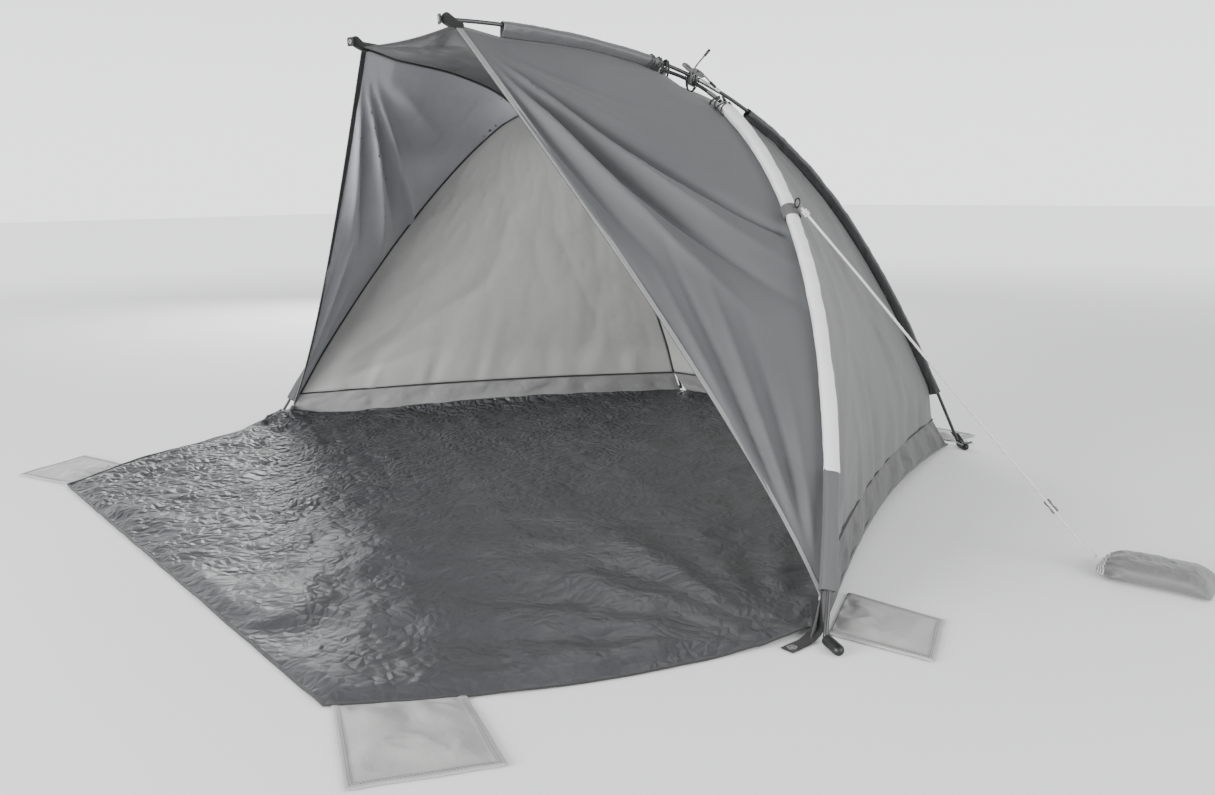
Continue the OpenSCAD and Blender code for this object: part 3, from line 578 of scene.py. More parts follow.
# inner face of the hem bands: coated cloth, lightened with painted light that stands in for daylight coming
# through the cloth
bandInCoatPaintedLight = clothFinish("hemBandCoatedInsidePaintedLight", grey(0.50), grey(0.56), crease=0.35, creaseScale=26.0)
archSleeveCloth = clothFinish("archSleeveCloth", grey(0.76), grey(0.86), crease=0.3, creaseScale=40.0)
ridgeSleeveCloth = clothFinish("ridgeSleeveCloth", grey(0.26, -0.006), grey(0.34, -0.004), crease=0.4,
                               creaseScale=40.0, rough=0.5, gloss=0.5)
rearSleeveCloth = clothFinish("rearSleeveCloth", grey(0.13, -0.003), grey(0.21, -0.003), crease=0.4,
                              creaseScale=40.0, rough=0.5, gloss=0.5)
bindingTape = clothFinish("bindingTape", grey(0.42), grey(0.52), threads=900.0, weave=0.5)
# dark tape for seams, hems and edges; on the inner half of the front binding it is painted shade
darkTapeAndPaintedShade = clothFinish("darkTapeAndPaintedShade", grey(0.11, -0.003), grey(0.18), threads=900.0, weave=0.5)
pocketCloth = clothFinish("sandPocketCloth", grey(0.58, 0.004), grey(0.68, 0.004), crease=0.6,
                          creaseScale=22.0, rough=0.45, gloss=0.5)
bagCloth = clothFinish("sandBagCloth", grey(0.37), grey(0.44), crease=0.5, creaseScale=40.0, rough=0.45)
webbing = clothFinish("blackWebbing", grey(0.025), grey(0.06), threads=420.0, weave=1.0, fleck=0.4)
stitchThread = clothFinish("stitchThread", grey(0.58), grey(0.72), threads=3000.0)
darkThread = clothFinish("darkThread", grey(0.24), grey(0.34), threads=3000.0)
greyWebbing = clothFinish("greyWebbing", grey(0.26), grey(0.38), threads=420.0, weave=1.0)
groundLaminate = sheetFinish("groundLaminate", grey(0.25, -0.006), grey(0.37, -0.005), (0.30, 0.48), 0.38)
whiteCord = cordFinish("whiteCord", grey(0.66, 0.01), grey(0.94, 0.006))
tieCord = cordFinish("greyTieCord", grey(0.26), grey(0.46))
elastic = cordFinish("blackElastic", grey(0.03), grey(0.12), braid=240.0, rough=0.6)
fibreglass = hardFinish("poleFibreglass", grey(0.12, -0.004), grey(0.20, -0.004), (0.28, 0.42),
                        stretch=(1, 1, 0.05))
ferruleSteel = hardFinish("ferruleSteel", grey(0.62), grey(0.74), (0.25, 0.4), metal=1.0)
blackCap = hardFinish("blackCap", grey(0.012), grey(0.035), (0.35, 0.6), grain=500.0)
eyeletMetal = hardFinish("eyeletMetal", grey(0.72), grey(0.86), (0.15, 0.32), metal=1.0)
print("finishes made")

# ---------- camera ----------
view = {"place": (2.0427, -1.2487, 0.7307), "target": (0.9713, -0.3465, 0.4400), "lens": 29.96, "roll": -0.77}
eye = bpy.data.objects.new("camera", bpy.data.cameras.new("camera"))
eye.data.lens = view["lens"]
eye.data.sensor_width = 36
eye.data.clip_end = 60
look = (Vector(view["target"]) - Vector(view["place"])).to_track_quat("-Z", "Y").to_matrix().to_4x4()
roll = Matrix.Rotation(math.radians(view["roll"]), 4, "Z")
eye.matrix_world = Matrix.Translation(view["place"]) @ look @ roll
bpy.context.scene.collection.objects.link(eye)
bpy.context.scene.camera = eye

# ---------- guy line ----------
guy = {
    "diameter": 0.005,
    "route": [(0.757, 0.335, 0.687), (0.806, 0.366, 0.620), (0.855, 0.397, 0.553), (0.903, 0.427, 0.486),
              (0.951, 0.458, 0.418), (1.000, 0.489, 0.351), (1.04825, 0.520, 0.285), (1.0965, 0.551, 0.219),
              (1.14475, 0.582, 0.153), (1.193, 0.613, 0.087), (1.221, 0.631, 0.049), (1.242, 0.643, 0.028)],
    "turn": 12.0, "loopShare": 0.201, "bagLength": 0.196, "bagWidth": 0.112, "bagHeight": 0.042,
    "neckHeight": 0.024,
}
guyPath = smoothPath(guy["route"], 90)
guySide, guyUp = turnAxes(guyPath, (0, 0, 1))
guyCord = carry("guyCord", guyPath, guySide, guyUp, roundProfile(guy["diameter"] / 2, 12), whiteCord)
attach(guyCord, "guy_line")
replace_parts(guyCord, "guy_cord")

# the tail comes back up beside the line from the bag's neck to the runner
tailStart = int(0.80 * len(guyPath))
tailPath = guyPath[tailStart:] + guySide[tailStart:] * 0.0056
guyTail = carry("guyTail", tailPath, guySide[tailStart:], guyUp[tailStart:], roundProfile(0.0024, 10),
                whiteCord)
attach(guyTail, "guy_line")

# knot at the ring: two turns of the cord round itself
knotPieces = []
knotAlong = unit(guyPath[6] - guyPath[0])
for k in range(3):
    a = np.linspace(0, 2 * math.pi, 25)[:-1]
    centre = guyPath[0] + knotAlong * (0.008 + 0.0046 * k)
    turn = centre + 0.0046 * (np.cos(a)[:, None] * guySide[0] + np.sin(a)[:, None] * guyUp[0])
    turn = np.vstack([turn, turn[:1]])
    knotPieces.append(carry("turn", turn, unit(turn - centre), np.broadcast_to(knotAlong, turn.shape),
                            roundProfile(0.0021, 8), whiteCord))
guyKnot = mergeInto("guyKnot", knotPieces)
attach(guyKnot, "guy_line")

runnerBox = [np.array(c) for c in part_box("guy_runner")]
runnerCentre = (runnerBox[0] + runnerBox[1]) / 2
runnerAlong = unit(np.array(guy["route"][9]) - np.array(guy["route"][8]))
runnerSide = unit(np.cross(runnerAlong, (0, 0, 1)))
runnerUp = np.cross(runnerSide, runnerAlong)
# runner: a small moulded block with a waist, its outline swept along the line
runnerSteps = np.linspace(-0.5, 0.5, 25)
roundEnds = np.clip((0.5 - np.abs(runnerSteps)) * 24, 0, 1) ** 0.4
runnerSize = 0.0064 * (1 - 0.22 * hump(runnerSteps, 0, 0.3)) * roundEnds
runnerSize = np.maximum(runnerSize, 0.0031)
runnerProfile = roundProfile(1.0, 20)[None] * runnerSize[:, None, None]
runnerPath = runnerCentre + runnerSteps[:, None] * 0.030 * runnerAlong
guyRunner = carry("guyRunner", runnerPath, np.broadcast_to(runnerSide, (25, 3)),
                  np.broadcast_to(runnerUp, (25, 3)), runnerProfile, tieCord)
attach(guyRunner, "runner")
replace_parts(guyRunner, "guy_runner")

# sand bag: rounded sections along its length, tied at the neck, pleated where the cord gathers it
bagSteps, bagAround = 110, 128
t = np.linspace(0, 1, bagSteps)[:, None]
a = np.linspace(0, 2 * math.pi, bagAround, endpoint=False)[None]
openness = 0.17 + 0.83 * np.sin(math.pi / 2 * np.minimum(t * 4.2, 1)) ** 0.8
closing = np.where(t > 0.80, 1 - 0.72 * ((t - 0.80) / 0.20) ** 2, 1)
pleats = 1 + 0.16 * (1 - fade(t, 0.02, 0.34)) * np.cos(11 * a + 1.3 * np.sin(3 * a))
halfW = guy["bagWidth"] / 2 * openness * 0.97
halfH = guy["bagHeight"] / 2 * openness * closing
middle = halfH + 0.0006 + (guy["neckHeight"] - guy["bagHeight"] / 2) * (1 - t) ** 6
cosA, sinA = np.cos(a), np.sin(a)
bagY = halfW * pleats * np.sign(cosA) * np.abs(cosA) ** 0.72
lumps = 0.0026 * latticeNoise(t * 5 + 0 * a, bagY / 0.035, 5) * fade(t, 0.1, 0.3) * np.maximum(sinA, 0)
dents = np.abs(latticeNoise(t * 14 + bagY / 0.05, bagY / 0.018 + t * 3, 8))
dents = 0.0022 * dents * np.maximum(sinA, 0) * fade(t, 0.05, 0.2)
bagZ = np.maximum(middle + halfH * pleats * np.sign(sinA) * np.abs(sinA) ** 0.80 + lumps - dents, 0.0006)
# a hem across the far end stands a millimetre proud
bagHem = 0.0010 * fade(t, 0.925, 0.932) * (1 - fade(t, 0.988, 0.995))
bagY = bagY + bagHem * cosA
bagZ = np.maximum(bagZ + bagHem * sinA, 0.0006)
bagX = np.broadcast_to(t * guy["bagLength"], bagZ.shape)
bagTurn = math.radians(guy["turn"])
hemAlong = np.array([math.cos(bagTurn), math.sin(bagTurn), 0.0])
neck = np.array(guy["route"][-1]) + hemAlong * (guy["diameter"] / 2 + 0.001)


def bagSpace(x, y, z):
    # bag's own length, width and height turned and moved to its place on the ground
    return np.stack([neck[0] + x * math.cos(bagTurn) - y * math.sin(bagTurn),
                     neck[1] + x * math.sin(bagTurn) + y * math.cos(bagTurn), z + 0 * x], axis=-1)


bagPoints = bagSpace(bagX, bagY, bagZ)
bagUv = np.stack([bagX, np.broadcast_to(a / (2 * math.pi) * 0.26, bagX.shape)], axis=-1)
bagFaces = gridFaces(bagSteps, bagAround, True)
ends = np.stack([bagPoints[0].mean(0), bagPoints[-1].mean(0)])
j = np.arange(bagAround)
k = (j + 1) % bagAround
last = (bagSteps - 1) * bagAround
bagCaps = np.concatenate([np.stack([np.full(bagAround, last + bagAround), k, j], 1),
                          np.stack([np.full(bagAround, last + bagAround + 1), last + j, last + k], 1)])
sandBag = addMeshMixed("sandBag", np.concatenate([bagPoints.reshape(-1, 3), ends]), bagFaces, bagCaps,
                       np.concatenate([bagUv.reshape(-1, 2), [[0, 0], [0.2, 0]]]))
recalculate(sandBag)
sandBag.data.materials.append(bagCloth)
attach(sandBag, "guy_line")
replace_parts(sandBag, "sand_bag")

neckPieces = []
for k in range(3):
    row = bagPoints[4 + 3 * k]
    ring = np.vstack([row[::4], row[:1]])
    centre = row.mean(0)
    neckPieces.append(carry("wrap", centre + (ring - centre) * 1.04, unit(ring - centre),
                            np.broadcast_to(hemAlong, ring.shape), roundProfile(0.0018, 8), whiteCord))
neckTie = mergeInto("neckTie", neckPieces)
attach(neckTie, "guy_line")


# ---------- stitches ----------
def stitchRow(name, path, normal, thread, pitch=0.0045, length=0.0030, thick=0.0007):
    # one small six-sided bead for each stitch, laid along the path on the cloth's surface
    path, normal = np.asarray(path, float), np.asarray(normal, float)
    run = np.concatenate([[0], np.cumsum(np.linalg.norm(np.diff(path, axis=0), axis=1))])
    at = np.arange(pitch / 2, run[-1], pitch)
    spot = np.stack([np.interp(at, run, path[:, k]) for k in range(3)], axis=1)
    ahead = unit(np.stack([np.interp(at + 0.001, run, path[:, k]) - np.interp(at - 0.001, run, path[:, k])
                           for k in range(3)], axis=1))
    out = unit(np.stack([np.interp(at, run, normal[:, k]) for k in range(3)], axis=1))
    side = unit(np.cross(ahead, out))
    ringAt = np.array([-0.5, -0.32, 0.32, 0.5]) * length
    ringSize = np.array([0.35, 1.0, 1.0, 0.35]) * thick / 2
    ang = np.arange(6) / 6 * 2 * math.pi
    shape = (ahead[:, None, None] * ringAt[None, :, None, None]
             + side[:, None, None] * (ringSize[:, None] * np.cos(ang))[None, ..., None]
             + out[:, None, None] * (ringSize[:, None] * np.sin(ang))[None, ..., None])
    points = (spot[:, None, None] + shape).reshape(-1, 3)
    one = gridFaces(4, 6, True)
    capA = np.array([[3, 2, 1, 0], [5, 4, 3, 0]])
    capB = np.array([[18, 19, 20, 21], [18, 21, 22, 23]])
    one = np.concatenate([one, capA, capB])
    faces = (np.arange(len(spot))[:, None, None] * 24 + one[None]).reshape(-1, 4)
    piece = addMesh(name, points, faces, np.zeros((len(points), 2)))
    recalculate(piece)
    piece.data.materials.append(thread)
    return piece


# ---------- canopy ----------
def frontPoints(u, v):
    # cloth between the ridge seam and the arch seam, pulled out to the free front edge as u^2.2
    c1 = underRidge(mixUp(ridgeCross, tipShare, u))
    c2 = underArch(mixUp(archCross, cornerShare, u))
    w = (u ** 2.2)[..., None]
    v3 = v[..., None]
    return mixUp(c1, c2, v3) + w * (bezier(frontEdge, v) - mixUp(tipCorner, footCorner, v3))


seamA = underArch(archLeg)
seamB = underRidge(ridgeLeg)


def sideSeam(v):
    # seam between a side panel and its hem band
    bow = np.sin(math.pi * v)[..., None]
    return mixUp(seamA, seamB, v[..., None]) + np.array([-0.026, -0.012, 0.014]) * bow


def sidePoints(u, v):
    c1 = underArch(mixUp(archCross, archLeg, u))
    c2 = underRidge(mixUp(ridgeCross, ridgeLeg, u))
    v3 = v[..., None]
    pull = (u ** 3)[..., None] * (sideSeam(v) - mixUp(seamA, seamB, v3))
    belly = np.array([-0.020, -0.008, 0]) * (np.sin(math.pi * v) * np.sin(math.pi * u))[..., None]
    return mixUp(c1, c2, v3) + pull + belly


def crownLine(v):
    return underArch(mixUp(archCross, 1 - archCross, v))


def roofPoints(u, v):
    r = underRidge(mixUp(tipShare, ridgeCross, u))
    v3 = v[..., None]
    lift = (u ** 1.6)[..., None] * (crownLine(v) - mixUp(crownLine(np.zeros(1)), crownLine(np.ones(1)), v3))
    scoop = np.array([0, 0.006, -0.006]) * (np.sin(math.pi * v) * (1 - u) ** 2)[..., None]
    return mixUp(r, r * flipX, v3) + lift + scoop


def rearSeam(v):
    bow = np.sin(math.pi * v)[..., None]
    return mixUp(seamB, seamB * flipX, v[..., None]) + np.array([0, 0.018, 0.010]) * bow


def rearPoints(u, v):
    r = underRidge(mixUp(ridgeCross, ridgeLeg, u))
    v3 = v[..., None]
    crownEnds = mixUp(crownLine(np.zeros(1)), crownLine(np.ones(1)), v3)
    top = ((1 - u) ** 1.6)[..., None] * (crownLine(v) - crownEnds)
    low = (u ** 3)[..., None] * (rearSeam(v) - mixUp(seamB, seamB * flipX, v3))
    return mixUp(r, r * flipX, v3) + top + low


def paramGrid(m, n, uRange=(0, 1), vRange=(0, 1)):
    return np.meshgrid(np.linspace(*uRange, m), np.linspace(*vRange, n), indexing="ij")


def planeMap(points, origin, towards, beside):
    # distances along and across a panel from one corner, on the plane of three points
    e1 = unit(towards - origin)
    normal = unit(np.cross(e1, beside - origin))
    e2 = np.cross(normal, e1)
    away = points - origin
    return away @ e1, away @ e2


def fanFolds(x, y, folds):
    # folds that spread from a corner: each is a crest along its own angle, high at mid reach and
    # gone at its end; the profile across is a pointed bell, exp(-|d| / width)
    angle = np.arctan2(y, x)
    reach = np.hypot(x, y)
    total = np.zeros_like(x)
    for degrees, width, height, start, end in folds:
        d = (angle - math.radians(degrees)) * reach
        spread = width * (0.35 + 0.65 * reach / end)
        body = np.exp(-np.sqrt((d / spread) ** 2 + 0.05) + 0.22)
        rise = fade(reach, start, start + 0.3 * (end - start))
        total += height * body * rise * (1 - fade(reach, 0.55 * end, end))
    return total


print("sewing the canopy")
canopy = {"thickness": 0.0012, "frontGrid": (150, 110), "sideGrid": (140, 110), "roofGrid": (70, 90),
          "rearGrid": (110, 130)}
# angle from the free edge in degrees, width, height, start and end of reach, all from the tip
tipFolds = [(3.5, 0.010, 0.010, 0.04, 0.80), (8, 0.018, -0.020, 0.06, 0.75),
            (12.5, 0.018, 0.026, 0.08, 0.92),
            (17.5, 0.018, -0.030, 0.05, 1.00), (22, 0.017, 0.022, 0.05, 0.90),
            (26.5, 0.012, -0.024, 0.04, 1.05), (33, 0.03, 0.010, 0.05, 0.6), (44, 0.03, -0.008, 0.04, 0.5)]
footFolds = [(3, 0.009, -0.009, 0.05, 0.85), (6.5, 0.009, 0.012, 0.08, 0.75), (10, 0.009, -0.013, 0.05, 0.80),
             (14, 0.010, 0.013, 0.05, 0.70), (18.5, 0.010, -0.012, 0.05, 0.60),
             (24, 0.012, 0.009, 0.05, 0.45)]


def buildFront(side, flip):
    u, v = paramGrid(*canopy["frontGrid"])
    base = frontPoints(u, v)
    normal = outwardNormals(base, unit(base - heart))
    x, y = planeMap(base, tipCorner, footCorner, crossPoint)
    xf, yf = planeMap(base, footCorner, tipCorner, crossPoint)
    mask = fade(v, 0, 0.10) * fade(v, 1, 0.93) * fade(u, 0.0, 0.25)
    freeEdge = fade(u, 1.0, 0.96)
    height = (fanFolds(x, y, tipFolds) + fanFolds(xf, yf, footFolds)) * mask * (0.25 + 0.75 * freeEdge)
    height += 0.0022 * crumple(x, y, 0.24, 11) * mask * freeEdge
    points = (base + normal * height[..., None]) * flip
    piece = clothSheet("frontPanel_" + side, points, canopy["thickness"], frontOut, frontInCoatPaintedLight, heart)
    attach(piece, "shelter")
    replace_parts(piece, "front_panel_" + side)
    return base * flip


def buildSide(side, flip):
    u, v = paramGrid(*canopy["sideGrid"])
    base = sidePoints(u, v)
    normal = outwardNormals(base, unit(base - heart))
    d = (1 - u) * gridRuns(base)[0][-1]    # distance above the lower seam
    w = v * np.linalg.norm(seamB - seamA)
    mask = fade(v, 0, 0.06) * fade(v, 1, 0.94) * fade(u, 0, 0.2)
    # the lower seam is gathered: short pleats of uneven width that die out upwards
    pleat = np.sin(w / 0.021 + 2.2 * latticeNoise(w / 0.09, d / 0.2, 3))
    pleat *= 0.6 + 0.4 * latticeNoise(w / 0.15, 0 * w, 4)
    pleatReach = 0.085 + 0.05 * latticeNoise(w / 0.12, 0 * w + 3, 6)
    height = 0.0052 * pleat * np.exp(-d / pleatReach) * (1 - np.exp(-(d + 0.004) / 0.012))
    height += 0.0034 * crumple(w, d, 0.26, 21) * fade(u, 0.1, 0.5)
    xf, yf = planeMap(base, seamA, seamB, crossPoint)
    height += fanFolds(xf, yf, [(18, 0.02, 0.004, 0.05, 0.5), (34, 0.02, -0.004, 0.05, 0.5),
                                (52, 0.02, 0.004, 0.06, 0.6)])
    points = (base + normal * (height * mask)[..., None]) * flip
    piece = clothSheet("sidePanel_" + side, points, canopy["thickness"], sideOut, sideInCoatPaintedLight, heart)
    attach(piece, "shelter")
    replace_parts(piece, "side_panel_" + side)
    return base * flip


frontGrids = bothSides(buildFront)
bothSides(buildSide)

u, v = paramGrid(*canopy["roofGrid"])
roofBase = roofPoints(u, v)
roofNormal = gridNormals(roofBase)
roofNormal *= np.sign(roofNormal[35, 45, 2])
x, y = roofBase[..., 0], roofBase[..., 1]
roofHeight = 0.0022 * crumple(x, y, 0.20, 31)
for sign in (1, -1):
    corner = tipCorner * (1 if sign > 0 else flipX)
    other = tipCorner * (flipX if sign > 0 else 1)
    xt, yt = planeMap(roofBase, corner, other, archTop)
    roofHeight += fanFolds(xt, np.abs(yt),
                           [(12, 0.012, -0.004, 0.02, 0.35), (24, 0.014, 0.005, 0.02, 0.4),
                            (42, 0.016, -0.004, 0.03, 0.42)])
roofHeight *= fade(v, 0, 0.08) * fade(v, 1, 0.92) * fade(u, 1, 0.9) * fade(u, 0, 0.04)
roof = clothSheet("roofPanel", roofBase + roofNormal * roofHeight[..., None], canopy["thickness"],
                  roofOut, roofIn, heart)
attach(roof, "shelter")
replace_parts(roof, "roof_panel")

u, v = paramGrid(*canopy["rearGrid"])
rearBase = rearPoints(u, v)
rearNormal = gridNormals(rearBase)
rearNormal *= np.sign(rearNormal[55, 65, 1])
down, across = gridRuns(rearBase)
d = (1 - u) * down[-1]
w = (v - 0.5) * across[-1]
pleat = np.sin(w / 0.022 + 2.0 * latticeNoise(w / 0.1, d / 0.2, 41))
rearHeight = 0.0030 * pleat * np.exp(-d / 0.08) * (1 - np.exp(-(d + 0.004) / 0.012))
rearHeight += 0.0024 * crumple(w, d, 0.28, 42)
rearHeight *= fade(v, 0, 0.06) * fade(v, 1, 0.94) * fade(u, 0, 0.1)
rear = clothSheet("rearPanel", rearBase + rearNormal * rearHeight[..., None], canopy["thickness"],
                  sideOut, sideInCoatPaintedLight, heart)
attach(rear, "shelter")
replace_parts(rear, "rear_panel")


# hem bands: ruled strips from the lower seam down to the hem on the groundsheet
def sideHem(v):
    a = np.array([halfFront - 0.026, 0.026, 0.0050])
    b = np.array([halfRear - 0.022, depth - 0.026, 0.0050])
    return mixUp(a, b, v[..., None]) + np.array([-0.036, -0.010, 0.026]) * np.sin(math.pi * v)[..., None]


def rearHem(v):
    a = np.array([halfRear - 0.040, depth - 0.012, 0.0050])
    return mixUp(a, a * flipX, v[..., None]) + np.array([0, 0.030, 0]) * np.sin(math.pi * v)[..., None]


def bandSheet(name, top, hem, outwardHint, nodeName, seed, flip=np.ones(3)):
    u, v = paramGrid(24, 220)
    base = mixUp(top(v), hem(v), u[..., None])
    normal = outwardNormals(base, outwardHint)
    w = v * np.linalg.norm(base[0, -1] - base[0, 0])
    waves = np.sin(w / 0.030 + 2.4 * latticeNoise(w / 0.16, u * 0.8, seed))
    height = 0.0032 * waves * np.sin(math.pi * np.clip(u * 0.9, 0, 1))
    height += 0.0022 * crumple(w, u * 0.09, 0.06, seed + 1, 2) * np.sin(math.pi * u)
    height += 0.0020 * np.exp(-u / 0.12) * np.sin(w / 0.011)
    height *= fade(v, 0, 0.02) * fade(v, 1, 0.98)
    piece = clothSheet(name, (base + normal * height[..., None]) * flip, canopy["thickness"],
                       bandOut, bandInCoatPaintedLight, heart)
    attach(piece, "shelter")
    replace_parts(piece, nodeName)
    return base * flip


def buildGusset(side, flip):
    # small corner cloth between the front panel's corner, the hem band and the foot
    u, v = paramGrid(16, 12)
    top = mixUp(footCorner, seamA, v[..., None])
    low = mixUp(np.array([halfFront - 0.022, -0.010, 0.006]), np.array([halfFront - 0.026, 0.026, 0.005]),
                v[..., None])
    base = mixUp(top, low, u[..., None])
    base[..., 0] += 0.003 * np.sin(math.pi * u) * np.sin(3 * math.pi * v)
    piece = clothSheet("footGusset_" + side, base * flip, canopy["thickness"], bandOut, bandInCoatPaintedLight, heart)
    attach(piece, "shelter")


bothSides(buildGusset)
sideBands = bothSides(lambda side, flip: bandSheet("hemBand_" + side, sideSeam, sideHem,
                                                   np.array([1.0, 0, 0]), "hem_band_" + side, 51, flip))
rearBand = bandSheet("hemBand_rear", rearSeam, rearHem, np.array([0, 1.0, 0]), "hem_band_rear", 57)


# ---------- bindings and seams ----------
def edgeTape(name, path, inward, out, width, thick, material, offset=0.0):
    # flat tape along an edge, its width running inwards from the edge
    inward, out = unit(inward), unit(out)
    piece = carry(name, np.asarray(path) + inward * offset, inward, out, tapeProfile(width, thick), material)
    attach(piece, "shelter")
    return piece


def gridEdge(grid, last):
    # the first or last row of a panel, the direction inwards from it and the cloth's normal there
    edge, beside = (-1, -2) if last else (0, 1)
    return grid[edge], grid[beside] - grid[edge], gridNormals(grid)[edge]


for side, grid in zip(("right", "left"), frontGrids):
    line, inward, out = gridEdge(grid, True)
    out = unit(out) * np.sign((unit(out) * unit(line - heart)).sum(-1).mean())
    edgeTape("frontBinding_" + side, line + 0.0007 * out, inward, out, 0.013, 0.0022, bindingTape,
             offset=0.003)
    # inner half of the fold-over tape: painted shade, the light grey tape drawn dark where it lies in the
    # tent's shade
    edgeTape("frontBindingShadedInside_" + side, line - 0.0012 * out, inward, out, 0.0136, 0.0018, darkTapeAndPaintedShade,
             offset=0.003)
    shift = unit(inward) * 0.0080 + out * 0.0017
    row = stitchRow("frontStitches_" + side, line + shift, out, stitchThread)
    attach(row, "shelter")
line, inward, out = gridEdge(roofBase, False)
edgeTape("roofBinding", line, inward, out, 0.012, 0.0028, darkTapeAndPaintedShade, offset=0.003)


def seamPiping(name, pole, drop, start, end, width, material, flip=np.ones(3)):
    # folded seam allowance on the inside of the cloth below a pole
    s = np.linspace(start, end, 140)
    along, side, out = poleAxes(pole, s)
    path = pole(s) - (drop(s) + 0.0026)[:, None] * out
    piece = carry(name, path * flip, side * flip, -out * flip, tapeProfile(width, 0.0032), material)
    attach(piece, "shelter")
    return piece


seamPiping("archSeam", archPole, archDrop, archLeg, 1 - archLeg, 0.007, darkTapeAndPaintedShade)
bothSides(lambda side, flip: seamPiping("ridgeSeam_" + side, ridgePole, ridgeDrop, tipShare, ridgeLeg,
                                        0.007, darkTapeAndPaintedShade, flip))
for side, grid in zip(("right", "left", "rear"), sideBands + [rearBand]):
    line, inward, out = gridEdge(grid, False)
    out = unit(out) * np.sign((unit(out) * unit(line - heart)).sum(-1).mean())
    edgeTape("bandSeam_" + side, line, inward, out, 0.006, 0.0066, darkTapeAndPaintedShade)
    line, inward, out = gridEdge(grid, True)
    edgeTape("bandHem_" + side, line + np.array([0, 0, 0.0006]), inward, out, 0.008, 0.0026, bandOut,
             offset=0.003)
print("bindings sewn on")


# ---------- poles ----------
def poleTube(name, pole, start, end, radius, material, nodeNames, flip=np.ones(3), steps=120,
             ends=0.0):
    # round tube along a pole; ends above 0 rounds the rims
    s = np.linspace(start, end, steps)
    along, side, out = poleAxes(pole, s)
    size = np.full(steps, radius)
    size[[0, -1]] *= 1 - ends
    piece = carry(name, pole(s) * flip, side * flip, out * flip,
                  roundProfile(1.0, 20)[None] * size[:, None, None], material)
    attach(piece, "shelter")
    if nodeNames:
        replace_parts(piece, *nodeNames)
    return piece


poleRadius = tent["poleDiameter"] / 2
archLength, ridgeLength = 3.384, 1.906
ferrule = {"half": 0.030, "wall": 0.00095, "rim": 0.08}


def ferruleRow(name, pole, poleLength, sections, flip):
    # a steel tube over every joint between two sections of a pole
    half = ferrule["half"] / poleLength
    tubes = [poleTube("ferrule", pole, i / sections - half, i / sections + half,
                      poleRadius + ferrule["wall"], ferruleSteel, [], flip, 24,
                      ferrule["rim"]) for i in range(1, sections)]
    return mergeInto(name, tubes)


for i in range(6):
    poleTube("archPole_%d" % (i + 1), archPole, i / 6, (i + 1) / 6, poleRadius, fibreglass,
             ["arch_section_%d" % (i + 1)])
for side, flip in sides:
    for i in range(3):
        poleTube("ridgePole_%s_%d" % (side, i + 1), ridgePole, i / 3, (i + 1) / 3, poleRadius, fibreglass,
                 ["%s_ridge_section_%d" % (side, i + 1)], flip)
    joined = ferruleRow("ridgeFerrules_" + side, ridgePole, ridgeLength, 3, flip)
    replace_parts(joined, side + "_ridge_ferrules")
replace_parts(ferruleRow("archFerrules", archPole, archLength, 6, np.ones(3)), "arch_ferrules")
for name in ("arch_shock_cord", "right_ridge_shock_cord", "left_ridge_shock_cord"):
    nodes[name].data.materials.clear()
    nodes[name].data.materials.append(elastic)


# ---------- sleeves ----------
def sleeveProfile():
    # cross-section of a sleeve hung on its pole: round over the pole, drawn in to the seam below
    h = np.linspace(0, 1, 18)
    top = tent["sleeveHeight"] / 2 - 0.0010
    low = -clothSeat + 0.0006
    y = mixUp(top, low, h)
    above = np.sqrt(np.clip(1 - np.abs(y / top) ** 2.2, 0, 1))
    below = 1 - 0.62 * np.clip(y / low, 0, 1) ** 1.4
    half = (tent["sleeveWidth"] / 2 - 0.0015) * np.where(y > 0, above, below)
    return np.concatenate([np.stack([half, y], 1), np.stack([-half, y], 1)[::-1][:-1]])


def buildSleeve(name, pole, drop, start, end, material, nodeName, seed, flip=np.ones(3)):
    # a cloth tube hung on a pole, puckered at its ends, with stitches along both sides of its seam
    s = np.linspace(start, end, 150)
    along, side, out = poleAxes(pole, s)
    shape = np.repeat(sleeveProfile()[None], len(s), axis=0)
    # the lower rim follows the cloth's own distance from the pole
    stretch = (drop(s) - clothSeat)[:, None]
    shape[..., 1] -= stretch * np.clip(-shape[..., 1] / clothSeat, 0, 1)
    run = (s - start) * (archLength if pole is archPole else ridgeLength)
    ring = np.linspace(0, 1, shape.shape[1])
    lengthwise, around = np.meshgrid(run, ring, indexing="ij")
    pucker = 0.0011 * crumple(lengthwise, around * 0.07, 0.045, seed, 2)
    pucker += 0.0009 * latticeNoise(lengthwise / 0.10, around * 3, seed + 9)
    nearEnd = np.exp(-np.minimum(lengthwise, run[-1] - lengthwise) / 0.02)
    pucker += 0.0012 * nearEnd * np.sin(around * 2 * math.pi * 5)
    length = np.linalg.norm(shape, axis=-1)
    keep = np.clip((shape[..., 1] + clothSeat) / 0.006, 0, 1)
    shape *= (1 + pucker * keep / np.maximum(length, 0.004))[..., None]
    piece = carry(name, pole(s) * flip, side * flip, out * flip, shape, material, caps=False)
    thicken(piece, 0.0009, -1)
    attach(piece, "shelter")
    if nodeName:
        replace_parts(piece, nodeName)
    # a row of stitches each side, just above the seam
    rows = []
    for sign in (1, -1):
        line = pole(s) - (drop(s) - 0.0035)[:, None] * out + sign * 0.0072 * side
        rows.append(stitchRow("row", line * flip, (unit(side * sign * 0.8 + out * 0.6)) * flip,
                              stitchThread if material is archSleeveCloth else darkThread))
    stitches = mergeInto(name + "_stitches", rows)
    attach(stitches, "shelter")
    return piece


